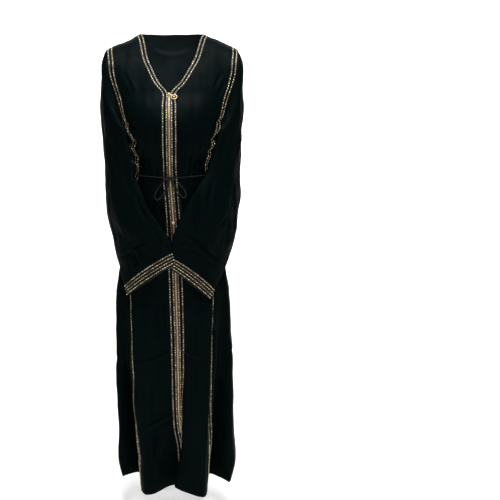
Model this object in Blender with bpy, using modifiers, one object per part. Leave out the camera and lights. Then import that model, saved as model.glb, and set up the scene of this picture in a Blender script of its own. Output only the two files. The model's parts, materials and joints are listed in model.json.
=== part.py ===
"""Abaya, kept in its worn form with nobody in it: walls of cloth, zip, beaded trim and waist cord.

Metres, +Z up. The origin is midway between the two shoulder seams at the neck, where the wearer's
shoulders hold the garment up. The front faces -Y and the wearer's left is +X.
"""
import math
from collections import namedtuple

import bmesh
import bpy
import numpy as np
from mathutils import Matrix, Vector

# Driving dimensions
HEM_Z = -1.42
WALL = 0.0013
SEAM_GAP = 0.0004
NECK_HALF = 0.095
BACK_NECK_DEPTH = 0.053
BACK_NECK_RISE = 0.005
SHOULDER_HALF = 0.195
SHOULDER_DROP = 0.045
UNDERARM_Z = -0.270
WAIST_Z = -0.419
WAIST_TILT = 0.014
WAIST_TILT_REACH = 0.10
ROUNDNESS = 2.3
SIDE_SEAM_ANGLE = 96.0
FOLD_START_SHARE = 0.62
BACK_SHOULDER_FULLNESS = 0.085

# Gathers under the waist cord, and the sleeve's head and edges
GATHER_DEPTH = 0.0032
GATHER_BELOW = 0.13
GATHER_ABOVE = 0.06
HEAD_OUTSET = 0.075
PLEAT_DEPTH = 0.0035
PLEAT_FADE = (0.0, 1.0, 0.8, 0.5, 0.2)
EDGE_FULLNESS = 0.8
MOST_MITRE = 1.8
SLEEVE_HEAD_STEPS = (0.0, 0.14, 0.3, 0.5, 0.74)
SLEEVE_STEPS = (0.0, 0.55, 1.1, 1.7, 2.3, 2.9, 3.45, 4.0)

# Trim and zip
TRIM_WIDTH = 0.005
TRIM_STEP = 0.011
TRIM_THICK = 0.0016
TRIM_GAP = 0.0004
PLACKET_TRIM_ENDS = (("inner", -1.30), ("outer", -1.36))
CUFF_TRIM_STEP = 0.009
CUFF_TRIM_GAP = 0.0009
CUFF_TRIMS = 4
CUFF_EDGE = 0.002
BINDING_WIDTH = 0.008
BINDING_THICK = 0.001
PLACKET_HALF_GAP = 0.0055
CLOSED_HALF_GAP = 0.0005
TAPE_THICK = 0.0009
TAPE_INNER = 0.0008
CHAIN_HALF = 0.0023
CHAIN_THICK = 0.0022
ZIP_TOP_Z = -0.190
ZIP_END_Z = -1.235
CLOSED_FRONT_Z = -1.29

# Sliders and ring pull
SLIDER_WIDTH = 0.0084
SLIDER_LENGTH = 0.011
SLIDER_THICK = 0.0026
SLIDER_TOP_BELOW = 0.0075
SLIDER_LOW_Z = -0.578
HINGE_HEIGHT = 0.0024
BAR_RADIUS = 0.0007
EYE_RADIUS = 0.0016
EYE_WIRE = 0.0005
RING_RADIUS = 0.0082
RING_WIRE = 0.0010
RING_REACH = 0.0190
PULL_TURN = 51.0
CHARM_RADIUS = 0.0022

# Waist cord and bow
CORD_RADIUS = 0.0021
TAIL_RADIUS = 0.0017
CORD_CLEAR = 0.0007
KNOT_SIZE = (0.0080, 0.0048, 0.0064)
KNOT_CLEAR = 0.0005

# How finely the panels are divided
TRIM_COLUMNS = (0.0, TRIM_WIDTH, TRIM_STEP, TRIM_STEP + TRIM_WIDTH)
FRONT_BETWEEN = 4
SIDE_SEGMENTS = 8
BACK_SEGMENTS = 20
BACK_YOKE_ROWS = 7
DENSE = 241

Section = namedtuple("Section", "name z half_width front back")
SECTIONS = (
    Section("underarm", -0.270, 0.156, -0.197, 0.106),
    Section("bust", -0.300, 0.147, -0.196, 0.103),
    Section("under bust", -0.345, 0.135, -0.184, 0.093),
    Section("ribs", -0.380, 0.126, -0.167, 0.084),
    Section("waist", -0.419, 0.121, -0.147, 0.079),
    Section("high hip", -0.480, 0.139, -0.138, 0.101),
    Section("hip", -0.600, 0.157, -0.124, 0.123),
    Section("thigh", -0.730, 0.168, -0.113, 0.136),
    Section("cuffs", -0.820, 0.179, -0.116, 0.140),
    Section("knee", -0.950, 0.183, -0.124, 0.143),
    Section("calf", -1.200, 0.183, -0.132, 0.149),
    Section("hem", -1.420, 0.178, -0.136, 0.152),
)

# Angle of the princess seam round the body, from the centre front, at each height
SeamAngle = namedtuple("SeamAngle", "z angle")
PRINCESS = (
    SeamAngle(-0.270, 66.0),
    SeamAngle(-0.300, 62.0),
    SeamAngle(-0.430, 62.0),
    SeamAngle(-0.600, 56.0),
    SeamAngle(-0.800, 50.0),
    SeamAngle(-0.990, 47.5),
    SeamAngle(-1.140, 47.5),
    SeamAngle(-1.420, 51.0),
)

# Where the closed centre front runs, which is a little off the middle
ZipPlace = namedtuple("ZipPlace", "z x")
ZIP_LINE = (
    ZipPlace(0.0, 0.0),
    ZipPlace(-0.085, -0.004),
    ZipPlace(-0.190, -0.010),
    ZipPlace(-0.275, -0.010),
    ZipPlace(-0.425, -0.007),
    ZipPlace(-0.525, 0.000),
    ZipPlace(-0.875, 0.014),
    ZipPlace(-1.235, 0.030),
    ZipPlace(-1.420, 0.035),
)

# Each ridge and valley of the skirt: angle on the plain section, place at the hem, how far the hem
# is lifted there, and the height where the fold starts
Fold = namedtuple("Fold", "name angle x y lift rise")
FOLDS = (
    Fold("back right", -155, -0.056, 0.153, 0.000, -0.75),
    Fold("rear ridge right", -132, -0.118, 0.122, 0.000, -0.60),
    Fold("rear valley right", -112, -0.139, 0.062, 0.006, -0.60),
    Fold("side back right", -98, -0.159, 0.020, 0.016, -0.60),
    Fold("side ridge right", -82, -0.158, -0.034, 0.026, -0.60),
    Fold("valley behind trim right", -66, -0.100, 0.006, 0.026, -0.52),
    Fold("trim ridge right", -48, -0.0936, -0.121, 0.008, -0.45),
    Fold("front ridge right", -29, -0.064, -0.149, 0.008, -0.66),
    Fold("slope to the closed front", -9, 0.002, -0.093, 0.019, -0.72),
    Fold("closed front", 0, 0.039, -0.083, 0.020, -0.72),
    Fold("fold over the closed front", 9, 0.010, -0.123, 0.026, -1.10),
    Fold("front ridge left", 30, 0.082, -0.153, 0.002, -0.66),
    Fold("trim ridge left", 47, 0.1060, -0.121, 0.000, -0.45),
    Fold("valley behind trim left", 64, 0.108, 0.004, 0.022, -0.52),
    Fold("side ridge left", 81, 0.182, -0.048, 0.012, -0.60),
    Fold("side left", 93, 0.198, 0.002, 0.012, -0.60),
    Fold("rear valley left", 106, 0.178, 0.038, 0.008, -0.60),
    Fold("rear ridge left", 121, 0.167, 0.084, 0.000, -0.60),
    Fold("back corner left", 141, 0.112, 0.138, 0.000, -0.75),
    Fold("back left", 160, 0.050, 0.157, 0.000, -0.75),
    Fold("back valley", 179, -0.004, 0.132, 0.004, -0.80),
)

# Front above the underarm: a row from the neck edge to the armhole, for the wearer's left.
# Inner x is measured from the closed front. Sweep is how long the row stays forward.
YokeRow = namedtuple("YokeRow", "name inner_x inner_y inner_z outer_x outer_y outer_z sweep")
FRONT_YOKE = (
    YokeRow("shoulder seam", 0.095, -0.0002, 0.000, 0.195, -0.0002, -0.045, 1.0),
    YokeRow("over shoulder", 0.089, -0.034, -0.012, 0.197, -0.033, -0.052, 1.0),
    YokeRow("collar bone", 0.081, -0.062, -0.040, 0.197, -0.062, -0.068, 1.0),
    YokeRow("upper chest", 0.071, -0.084, -0.080, 0.194, -0.085, -0.093, 1.1),
    YokeRow("chest", 0.051, -0.114, -0.124, 0.190, -0.095, -0.128, 1.6),
    YokeRow("neck point", 0.029, -0.138, -0.162, 0.180, -0.101, -0.166, 2.0),
    YokeRow("zip top", 0.0055, -0.154, -0.190, 0.167, -0.108, -0.202, 2.4),
    YokeRow("upper bust", 0.0055, -0.183, -0.233, 0.155, -0.112, -0.238, 2.7),
)

# A sleeve section: the two edges where the empty sleeve folds flat, how far its middle stands
# off the line between them, and how far apart its two layers are
SleeveSection = namedtuple("SleeveSection", "name front back bulge thick")
LEFT_SLEEVE = (
    SleeveSection("upper arm", (0.149, -0.131, -0.300), (0.188, 0.034, -0.292), 0.024, 0.044),
    SleeveSection("elbow", (0.108, -0.136, -0.412), (0.198, 0.020, -0.422), 0.027, 0.040),
    SleeveSection("forearm", (0.052, -0.163, -0.508), (0.203, -0.004, -0.540), 0.037, 0.034),
    SleeveSection("wrist", (0.005, -0.163, -0.606), (0.188, -0.020, -0.660), 0.037, 0.027),
    SleeveSection("cuff top", (-0.007, -0.155, -0.672), (0.153, -0.076, -0.738), 0.022, 0.017),
    SleeveSection("cuff edge", (-0.008, -0.149, -0.712), (0.113, -0.116, -0.812), 0.008, 0.013),
)
RIGHT_SLEEVE = (
    SleeveSection("upper arm", (-0.142, -0.139, -0.300), (-0.190, 0.034, -0.292), 0.028, 0.044),
    SleeveSection("elbow", (-0.121, -0.141, -0.412), (-0.196, 0.020, -0.422), 0.026, 0.038),
    SleeveSection("forearm", (-0.080, -0.163, -0.520), (-0.196, -0.004, -0.540), 0.034, 0.034),
    SleeveSection("wrist", (-0.014, -0.177, -0.618), (-0.180, -0.020, -0.650), 0.036, 0.027),
    SleeveSection("cuff top", (-0.004, -0.174, -0.662), (-0.158, -0.074, -0.738), 0.018, 0.016),
    SleeveSection("cuff edge", (0.006, -0.168, -0.698), (-0.136, -0.115, -0.800), 0.006, 0.013),
)


# The bow's loops and tails: which way each end leaves the knot, and the route from there
BowPiece = namedtuple("BowPiece", "name radius leaves route returns")
BOW = (
    BowPiece(
        "loop_right", CORD_RADIUS, (-1.0, -0.15, 0.02),
        (
            (-0.027, -0.158, -0.452), (-0.041, -0.156, -0.470), (-0.0515, -0.155, -0.489),
            (-0.0530, -0.155, -0.500), (-0.0465, -0.155, -0.507), (-0.0370, -0.1555, -0.502),
            (-0.0270, -0.156, -0.487), (-0.0185, -0.1575, -0.468),
        ),
        (-0.80, -0.15, -0.66),
    ),
    BowPiece(
        "loop_left", CORD_RADIUS, (1.0, -0.15, 0.02),
        (
            (0.0145, -0.158, -0.452), (0.0280, -0.156, -0.468), (0.0385, -0.155, -0.485),
            (0.0395, -0.155, -0.496), (0.0325, -0.155, -0.501), (0.0235, -0.1555, -0.492),
            (0.0130, -0.157, -0.474), (0.0045, -0.158, -0.461),
        ),
        (0.80, -0.15, -0.66),
    ),
    BowPiece(
        "tail_right", TAIL_RADIUS, (-0.34, 0.30, -1.0),
        ((-0.0125, -0.1530, -0.464), (-0.0200, -0.1500, -0.484), (-0.0265, -0.1480, -0.503)),
        None,
    ),
    BowPiece(
        "tail_left", TAIL_RADIUS, (0.34, 0.30, -1.0),
        (
            (0.0020, -0.1530, -0.466), (0.0120, -0.1500, -0.485), (0.0210, -0.1480, -0.507),
            (0.0245, -0.1475, -0.530), (0.0245, -0.1475, -0.557),
        ),
        None,
    ),
)


def column(table, name):
    return np.array([getattr(row, name) for row in table], float)


def ease(t):
    t = np.clip(t, 0.0, 1.0)
    return t * t * (3.0 - 2.0 * t)


def through(knots, values, x):
    """Smooth curve through the values at rising knots, read at x. Values may be vectors."""
    knots = np.asarray(knots, float)
    values = np.asarray(values, float)
    x = np.clip(np.asarray(x, float), knots[0], knots[-1])
    flat = values.reshape(len(knots), -1)
    slope = np.gradient(flat, knots, axis=0)
    i = np.clip(np.searchsorted(knots, x, side="right") - 1, 0, len(knots) - 2)
    step = (knots[i + 1] - knots[i])[..., None]
    t = (x - knots[i])[..., None] / step
    start = (2 * t**3 - 3 * t**2 + 1) * flat[i] + (t**3 - 2 * t**2 + t) * step * slope[i]
    end = (3 * t**2 - 2 * t**3) * flat[i + 1] + (t**3 - t**2) * step * slope[i + 1]
    return (start + end).reshape(x.shape + values.shape[1:])


def down(table, name, z):
    """A column of a table whose rows run from top to bottom, read at height z."""
    return through(-column(table, "z"), column(table, name), -np.asarray(z, float))


def zip_x(z):
    return down(ZIP_LINE, "x", z)


def plain_section(angle, z):
    """The body's section without folds, as x and y at this angle from the centre front."""
    half = down(SECTIONS, "half_width", z)
    front = down(SECTIONS, "front", z)
    back = down(SECTIONS, "back", z)
    power = 2.0 / ROUNDNESS
    sine = np.sin(np.radians(angle))
    cosine = np.cos(np.radians(angle))
    x = half * np.sign(sine) * np.abs(sine) ** power
    y = (front + back) / 2 - (back - front) / 2 * np.sign(cosine) * np.abs(cosine) ** power
    return np.stack([x, y], axis=-1)


def fold_shift(angle, z):
    """How far the skirt's folds move the section at this height, in x, y and z."""
    hem = plain_section(column(FOLDS, "angle"), np.full(len(FOLDS), HEM_Z))
    place = np.stack([column(FOLDS, "x"), column(FOLDS, "y")], axis=-1)
    moved = np.concatenate([place - hem, column(FOLDS, "lift")[:, None]], axis=1)
    rise = column(FOLDS, "rise")
    grown = ease((rise - z) / (rise - HEM_Z) * FOLD_START_SHARE) / ease(FOLD_START_SHARE)
    shift = moved * grown[:, None]
    knots = column(FOLDS, "angle")
    wrapped = np.concatenate([knots[-3:] - 360, knots, knots[:3] + 360])
    values = np.concatenate([shift[-3:], shift, shift[:3]])
    return through(wrapped, values, (np.asarray(angle, float) + 180) % 360 - 180)


def body_point(angle, z):
    """Points on the inside of the body's cloth at one height, for an array of angles."""
    angle = np.asarray(angle, float)
    shift = fold_shift(angle, z)
    flat = plain_section(angle, np.full(angle.shape, z)) + shift[..., :2]
    nearness = np.maximum(np.cos(np.radians(angle)), 0.0) ** 6
    folded = ease((-0.72 - z) / 0.5)
    flat[..., 0] += zip_x(z) * nearness * (1.0 - folded)
    tilt = WAIST_TILT * np.exp(-(((z - WAIST_Z) / WAIST_TILT_REACH) ** 2))
    height = z + tilt * flat[..., 1] / 0.1 + shift[..., 2]
    return np.concatenate([flat, height[..., None]], axis=-1)


def spaced(points, near, count, far):
    """Points along a polyline: at the distances near and far from its ends, and count between."""
    lengths = np.concatenate([[0.0], np.cumsum(np.linalg.norm(np.diff(points, axis=0), axis=1))])
    total = lengths[-1]
    middle = np.linspace(near[-1], total - far[0], count + 2)[1:-1]
    places = np.concatenate([near, middle, total - np.asarray(far)])
    return np.stack([np.interp(places, lengths, points[:, k]) for k in range(3)], axis=-1)


def princess_angle(z):
    return float(down(PRINCESS, "angle", z))


def placket_half_gap(z):
    closing = float(ease((ZIP_END_Z - z) / (ZIP_END_Z - CLOSED_FRONT_Z)))
    return PLACKET_HALF_GAP + (CLOSED_HALF_GAP - PLACKET_HALF_GAP) * closing


def unit(vectors):
    return vectors / np.linalg.norm(vectors, axis=-1, keepdims=True)


def row_heights():
    bodice = np.linspace(UNDERARM_Z, -0.372, 4)
    waist = WAIST_Z + np.array([0.022, 0.0, -0.024])
    skirt = np.linspace(-0.485, ZIP_END_Z, 11)
    below_zip = np.linspace(CLOSED_FRONT_Z, HEM_Z, 3)
    return np.concatenate([bodice, waist, skirt, below_zip])


def front_row(side, z):
    """One row of a front panel below the underarm, from the closed front to the princess seam."""
    angles = np.linspace(0.0, princess_angle(z), DENSE) * side
    points = body_point(angles, z)
    walked = np.cumsum(np.linalg.norm(np.diff(points, axis=0), axis=1))
    start = np.searchsorted(walked, placket_half_gap(z))
    points = points[start:]
    return spaced(points, TRIM_COLUMNS, FRONT_BETWEEN, TRIM_COLUMNS[::-1])


def yoke_row(side, row):
    s = np.linspace(0.0, 1.0, DENSE)
    closed = zip_x(row.inner_z)
    x = closed * (1 - s) + side * (row.inner_x + (row.outer_x - row.inner_x) * s)
    y = row.inner_y + (row.outer_y - row.inner_y) * s**row.sweep
    z = row.inner_z + (row.outer_z - row.inner_z) * s
    return spaced(np.stack([x, y, z], axis=-1), TRIM_COLUMNS, FRONT_BETWEEN, TRIM_COLUMNS[::-1])


def front_grid(side):
    rows = [yoke_row(side, row) for row in FRONT_YOKE]
    rows += [front_row(side, z) for z in row_heights()]
    return np.array(rows)


def arc_row(start, end, z, segments):
    points = body_point(np.linspace(start, end, DENSE), z)
    return spaced(points, (0.0,), segments - 1, (0.0,))


def side_grid(side):
    rows = []
    for z in row_heights():
        rows.append(arc_row(side * princess_angle(z), side * SIDE_SEAM_ANGLE, z, SIDE_SEGMENTS))
    return np.array(rows)


def back_top_edge():
    """Back neck and both shoulder seams, from the wearer's left to the right."""
    s = np.linspace(-1.0, 1.0, BACK_SEGMENTS + 1)
    turn = np.minimum(np.abs(s) / 0.5, 1.0) * math.pi / 2
    along = np.maximum(np.abs(s) - 0.5, 0.0) / 0.5
    x = NECK_HALF * np.sin(turn) + (SHOULDER_HALF - NECK_HALF) * along
    y = BACK_NECK_DEPTH * np.cos(turn) + SEAM_GAP
    z = BACK_NECK_RISE * np.cos(turn) - SHOULDER_DROP * along
    return np.stack([-np.sign(s) * x, y, z], axis=-1), np.abs(s)


def back_grid():
    top, off_centre = back_top_edge()
    low = arc_row(SIDE_SEAM_ANGLE, 360.0 - SIDE_SEAM_ANGLE, UNDERARM_Z, BACK_SEGMENTS)
    steps = np.linspace(0.0, 1.0, BACK_YOKE_ROWS + 1)[:-1]
    steps[1] = BINDING_WIDTH / (top[BACK_SEGMENTS // 2, 2] - UNDERARM_Z)
    rows = []
    for t in steps:
        row = top + (low - top) * t
        row[:, 1] = top[:, 1] + (low[:, 1] - top[:, 1]) * math.sin(t * math.pi / 2) ** 0.8
        row[:, 1] += BACK_SHOULDER_FULLNESS * math.sin(t * math.pi) * off_centre**3
        rows.append(row)
    for z in row_heights():
        rows.append(arc_row(SIDE_SEAM_ANGLE, 360.0 - SIDE_SEAM_ANGLE, z, BACK_SEGMENTS))
    return np.array(rows)


def grid_normals(grid, outward, closed=False):
    """Unit normals of a grid of points, turned to the side where outward says so."""
    along = np.gradient(grid, axis=0)
    if closed:
        across = np.roll(grid, -1, axis=1) - np.roll(grid, 1, axis=1)
    else:
        across = np.gradient(grid, axis=1)
    normals = unit(np.cross(along, across))
    middle = normals.reshape(-1, 3)[len(normals.reshape(-1, 3)) // 2]
    return normals if np.dot(middle, outward) > 0 else -normals


def mitred(grid, normals):
    """Normals of closed rings, made longer at a fold so that the wall keeps its thickness there."""
    before = unit(grid - np.roll(grid, 1, axis=1))
    after = unit(np.roll(grid, -1, axis=1) - grid)
    half_turn = np.arccos(np.clip((before * after).sum(axis=-1), -1.0, 1.0)) / 2
    return normals * np.minimum(1.0 / np.maximum(np.cos(half_turn), 0.1), MOST_MITRE)[..., None]


def match_normals(first, first_column, second, second_column, first_rows, second_rows):
    """Both sides of a seam take the same normals, so that their edges face each other squarely."""
    shared = unit(first[first_rows, first_column] + second[second_rows, second_column])
    first[first_rows, first_column] = shared
    second[second_rows, second_column] = shared


def gathered(grid, normals, edge):
    """Gathers that the waist cord pulls in: every second column goes inward near the waist."""
    depth = np.zeros(grid.shape[1])
    depth[1 + edge : grid.shape[1] - 1 - edge : 2] = GATHER_DEPTH
    below = np.clip((WAIST_Z - grid[..., 2]) / GATHER_BELOW, 0.0, 1.0)
    above = np.clip((grid[..., 2] - WAIST_Z) / GATHER_ABOVE, 0.0, 1.0)
    reach = (1.0 - below) * (1.0 - above)
    return grid - normals * (depth * reach)[..., None]


def trimmed_edges(grid, first, last):
    """Draws a panel's long edges in, by half a seam gap each."""
    grid = grid.copy()
    if first:
        grid[:, 0] += unit(grid[:, 1] - grid[:, 0]) * SEAM_GAP / 2
    if last:
        grid[:, -1] += unit(grid[:, -2] - grid[:, -1]) * SEAM_GAP / 2
    return grid


def material(name, colour, roughness, metallic=0.0):
    made = bpy.data.materials.new(name)
    made.use_nodes = True
    shader = made.node_tree.nodes["Principled BSDF"]
    shader.inputs["Base Color"].default_value = (*colour, 1.0)
    shader.inputs["Roughness"].default_value = roughness
    shader.inputs["Metallic"].default_value = metallic
    return made


def new_object(name, mesh, finish):
    mesh.materials.append(finish)
    obj = bpy.data.objects.new(name, mesh)
    garment.objects.link(obj)
    obj.parent = origin
    return obj


def wall(name, inner, outer, finish, closed=False):
    """A closed wall between two grids of points. Closed joins the last column to the first."""
    rows, columns = inner.shape[:2]
    points = np.concatenate([inner.reshape(-1, 3), outer.reshape(-1, 3)])
    layer = rows * columns
    strips = columns if closed else columns - 1
    faces = []

    def quad(a, b, c, d):
        faces.append((a, b, c))
        faces.append((a, c, d))

    for r in range(rows - 1):
        for c in range(strips):
            e = (c + 1) % columns
            a, b = r * columns + c, r * columns + e
            d, f = (r + 1) * columns + c, (r + 1) * columns + e
            faces.append((a, f, b))
            faces.append((a, d, f))
            faces.append((layer + a, layer + b, layer + f))
            faces.append((layer + a, layer + f, layer + d))
    for c in range(strips):
        e = (c + 1) % columns
        low = (rows - 1) * columns
        quad(c, e, layer + e, layer + c)
        quad(low + e, low + c, layer + low + c, layer + low + e)
    if not closed:
        for r in range(rows - 1):
            a, b = r * columns, (r + 1) * columns
            quad(b, a, layer + a, layer + b)
            far = columns - 1
            quad(a + far, b + far, layer + b + far, layer + a + far)
    mesh = bpy.data.meshes.new(name)
    mesh.from_pydata(points.tolist(), [], faces)
    mesh.validate()
    face_out(mesh)
    mesh.shade_smooth()
    return new_object(name, mesh, finish)


def face_out(mesh):
    work = bmesh.new()
    work.from_mesh(mesh)
    if work.calc_volume(signed=True) < 0:
        bmesh.ops.reverse_faces(work, faces=work.faces[:])
    work.to_mesh(mesh)
    work.free()


def strip_on(name, grid, normals, lift, thick, finish, closed=False):
    """A strip that lies on a panel's own points, moved out."""
    return wall(name, grid + normals * lift, grid + normals * (lift + thick), finish, closed)


def smooth_path(points, count):
    points = np.array(points, float)
    steps = np.concatenate([[0.0], np.cumsum(np.linalg.norm(np.diff(points, axis=0), axis=1))])
    return through(steps, points, np.linspace(0.0, steps[-1], count))


def tube(name, points, radius, finish, closed=False):
    curve = bpy.data.curves.new(name, "CURVE")
    curve.dimensions = "3D"
    curve.bevel_depth = radius
    curve.bevel_resolution = 2
    curve.use_fill_caps = True
    spline = curve.splines.new("POLY")
    spline.points.add(len(points) - 1)
    for spot, place in zip(spline.points, points):
        spot.co = (*place, 1.0)
    spline.use_cyclic_u = closed
    curve.materials.append(finish)
    obj = bpy.data.objects.new(name, curve)
    garment.objects.link(obj)
    obj.parent = origin
    return obj


def sleeve_ring(section, turns):
    """Points round one flat section: turn 0 is the front edge, and pi the back edge."""
    front = np.array(section["front"])
    back = np.array(section["back"])
    across = back - front
    outward = unit(np.cross(across, section["axis"]))
    if outward[1] > 0 or (abs(outward[1]) < 0.3 and outward[0] * front[0] < 0):
        outward = -outward
    s = (1 - np.cos(turns)) / 2
    layer = np.sign(np.sin(turns)) * np.abs(np.sin(turns)) ** EDGE_FULLNESS
    off = section["bulge"] * 4 * s * (1 - s) + section["thick"] / 2 * layer
    return front + across * s[:, None] + outward * off[:, None]


def sleeve_grid(table, loop, lead, outer_count):
    """Rows of a sleeve, from the armhole loop to the cuff edge."""
    knots = np.arange(len(table), dtype=float)
    fronts = np.array([row.front for row in table])
    backs = np.array([row.back for row in table])
    middles = (fronts + backs) / 2
    directions = unit(np.gradient(middles, axis=0))
    directions[0] = (0.0, 0.0, -1.0)
    total = len(loop)
    turns = np.concatenate([
        np.linspace(0.0, math.pi, outer_count),
        np.linspace(math.pi, 2 * math.pi, total - outer_count + 2)[1:-1],
    ])

    def ring(at):
        at = np.array([at])
        section = {
            "front": through(knots, fronts, at)[0],
            "back": through(knots, backs, at)[0],
            "axis": through(knots, directions, at)[0],
            "bulge": through(knots, column(table, "bulge"), at)[0],
            "thick": through(knots, column(table, "thick"), at)[0],
        }
        return sleeve_ring(section, turns)

    first = ring(0.0)
    reach = np.linalg.norm(first - loop, axis=1, keepdims=True)
    outset = np.minimum(reach, HEAD_OUTSET)
    fall = unit(ring(0.1) - first)
    rows = []
    for t in SLEEVE_HEAD_STEPS:
        start = (2 * t**3 - 3 * t**2 + 1) * loop + (t**3 - 2 * t**2 + t) * outset * lead
        end = (3 * t**2 - 2 * t**3) * first + (t**3 - t**2) * reach * fall
        rows.append(start + end)
    rows += [ring(at) for at in SLEEVE_STEPS]
    edge = ring(float(len(table) - 1))
    before = ring(len(table) - 1.5)
    back_up = unit(before - edge)
    insets = []
    for k in range(CUFF_TRIMS):
        start = CUFF_EDGE + k * CUFF_TRIM_STEP
        insets += [start, start + TRIM_WIDTH]
    rows += [edge + back_up * inset for inset in insets[::-1]]
    rows.append(edge)
    return np.array(rows)


def clear_scene():
    for obj in list(bpy.data.objects):
        bpy.data.objects.remove(obj, do_unlink=True)


clear_scene()
garment = bpy.data.collections.new("abaya")
bpy.context.scene.collection.children.link(garment)
cutters = bpy.data.collections.new("cutters")
bpy.context.scene.collection.children.link(cutters)
origin = bpy.data.objects.new("shoulders", None)
garment.objects.link(origin)

CLOTH = material("black crepe", (0.0032, 0.0042, 0.0045), 0.62)
TRIM = material("beaded trim", (0.62, 0.45, 0.24), 0.34, 0.9)
TAPE = material("zip tape", (0.40, 0.27, 0.15), 0.7)
BRASS = material("zip metal", (0.72, 0.53, 0.27), 0.3, 1.0)
CORD = material("waist cord", (0.02, 0.022, 0.022), 0.5)

SIDES = (("right", -1), ("left", 1))
YOKE = len(FRONT_YOKE)


def build_body():
    """The five panels. Gives back what the trim, the zip and the sleeves are made from."""
    fronts, front_normals, sides, side_normals = {}, {}, {}, {}
    back = back_grid()
    back_normals = grid_normals(back, (0.0, 1.0, 0.0))
    lower_back = slice(BACK_YOKE_ROWS, None)
    for name, side in SIDES:
        front = front_grid(side)
        flank = side_grid(side)
        normals = grid_normals(front, (0.0, -1.0, 0.0))
        flank_normals = grid_normals(flank, (side, -0.3, 0.0))
        match_normals(normals, -1, flank_normals, 0, slice(YOKE, None), slice(None))
        edge = 0 if side > 0 else -1
        match_normals(flank_normals, -1, back_normals, edge, slice(None), lower_back)
        fronts[name], front_normals[name] = front, normals
        sides[name], side_normals[name] = flank, flank_normals
    sewn = np.where(fronts["left"][:, 0, 2] < ZIP_END_Z)[0]
    match_normals(front_normals["left"], 0, front_normals["right"], 0, sewn, sewn)
    for name, side in SIDES:
        normals = front_normals[name]
        grid = gathered(fronts[name], normals, 3)
        grid = trimmed_edges(grid, False, True)
        fronts[name] = grid
        wall("front_" + name, grid, grid + normals * WALL, CLOTH)
        normals = side_normals[name]
        grid = trimmed_edges(gathered(sides[name], normals, 0), True, True)
        sides[name] = grid
        wall("side_" + name, grid, grid + normals * WALL, CLOTH)
    back = trimmed_edges(gathered(back, back_normals, 0), True, True)
    wall("back", back, back + back_normals * WALL, CLOTH)
    return fronts, front_normals, sides, side_normals, back, back_normals


def build_binding(back, normals):
    neck = BACK_SEGMENTS // 4
    span = slice(neck, 3 * neck + 1)
    lift = WALL + TRIM_GAP
    strip_on("neck_binding", back[:2, span], normals[:2, span], lift, BINDING_THICK, CLOTH)


def build_panel_trims(fronts, normals):
    lift = WALL + TRIM_GAP
    for name, _ in SIDES:
        grid, out = fronts[name], normals[name]
        for row, (label, end) in enumerate(PLACKET_TRIM_ENDS):
            near = slice(2 * row, 2 * row + 2)
            last = grid.shape[1] - 2 * row
            far = slice(last - 2, last)
            above = grid[:, 0, 2] > end
            placket, placket_out = grid[above, near], out[above, near]
            strip_on(f"trim_placket_{name}_{label}", placket, placket_out, lift, TRIM_THICK, TRIM)
            strip_on(f"trim_princess_{name}_{label}", grid[:, far], out[:, far], lift, TRIM_THICK, TRIM)


def build_zip(fronts, normals):
    heights = fronts["left"][:, 0, 2]
    rows = np.where((heights < ZIP_TOP_Z + 0.01) & (heights > ZIP_END_Z - 0.01))[0]
    left, right = fronts["left"][rows], fronts["right"][rows]
    left_out, right_out = normals["left"][rows], normals["right"][rows]
    across = unit(left[:, 0] - right[:, 0])
    middle = (left[:, 0] + right[:, 0]) / 2
    out = unit(left_out[:, 0] + right_out[:, 0])
    for name, side, grid, grid_out in (("right", -1, right, right_out), ("left", 1, left, left_out)):
        start = middle + across * (side * TAPE_INNER)
        tape = np.stack([start, grid[:, 0], grid[:, 1]], axis=1)
        tape_out = np.stack([out, grid_out[:, 0], grid_out[:, 1]], axis=1)
        lift = -TRIM_GAP - TAPE_THICK
        strip_on("zip_tape_" + name, tape, tape_out, lift, TAPE_THICK, TAPE)
    chain = np.stack([middle - across * CHAIN_HALF, middle + across * CHAIN_HALF], axis=1)
    chain_out = np.stack([out, out], axis=1)
    strip_on("zip_chain", chain, chain_out, 0.0, CHAIN_THICK, BRASS)
    return middle, out


def armhole_loop(side, front, front_out, flank, flank_out, back, back_out):
    """The armhole, from the front notch up over the shoulder, down the back and under the arm."""
    lead = np.array([side * 1.0, 0.0, 0.0])
    edge_gap = SEAM_GAP + 0.0002
    points, leads, faces = [], [], []
    for r in range(YOKE, -1, -1):
        away = unit(front[r, -1] - front[r, -2])
        points.append(front[r, -1] + front_out[r, -1] * WALL + away * edge_gap)
        leads.append(unit(away + lead * 0.5))
        faces.append(front_out[r, -1])
    column_index, inner_index = (0, 1) if side > 0 else (-1, -2)
    for r in range(1, BACK_YOKE_ROWS + 1):
        away = unit(back[r, column_index] - back[r, inner_index])
        points.append(back[r, column_index] + back_out[r, column_index] * WALL + away * edge_gap)
        leads.append(unit(away + lead * 0.5))
        faces.append(back_out[r, column_index])
    outer_count = len(points)
    up = np.array([0.0, 0.0, 1.0])
    for c in range(SIDE_SEGMENTS - 1, 0, -1):
        points.append(flank[0, c] + flank_out[0, c] * WALL / 2 + up * edge_gap)
        leads.append(unit(lead + up * 0.3))
    return np.array(points), np.array(leads), np.array(faces)


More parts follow.
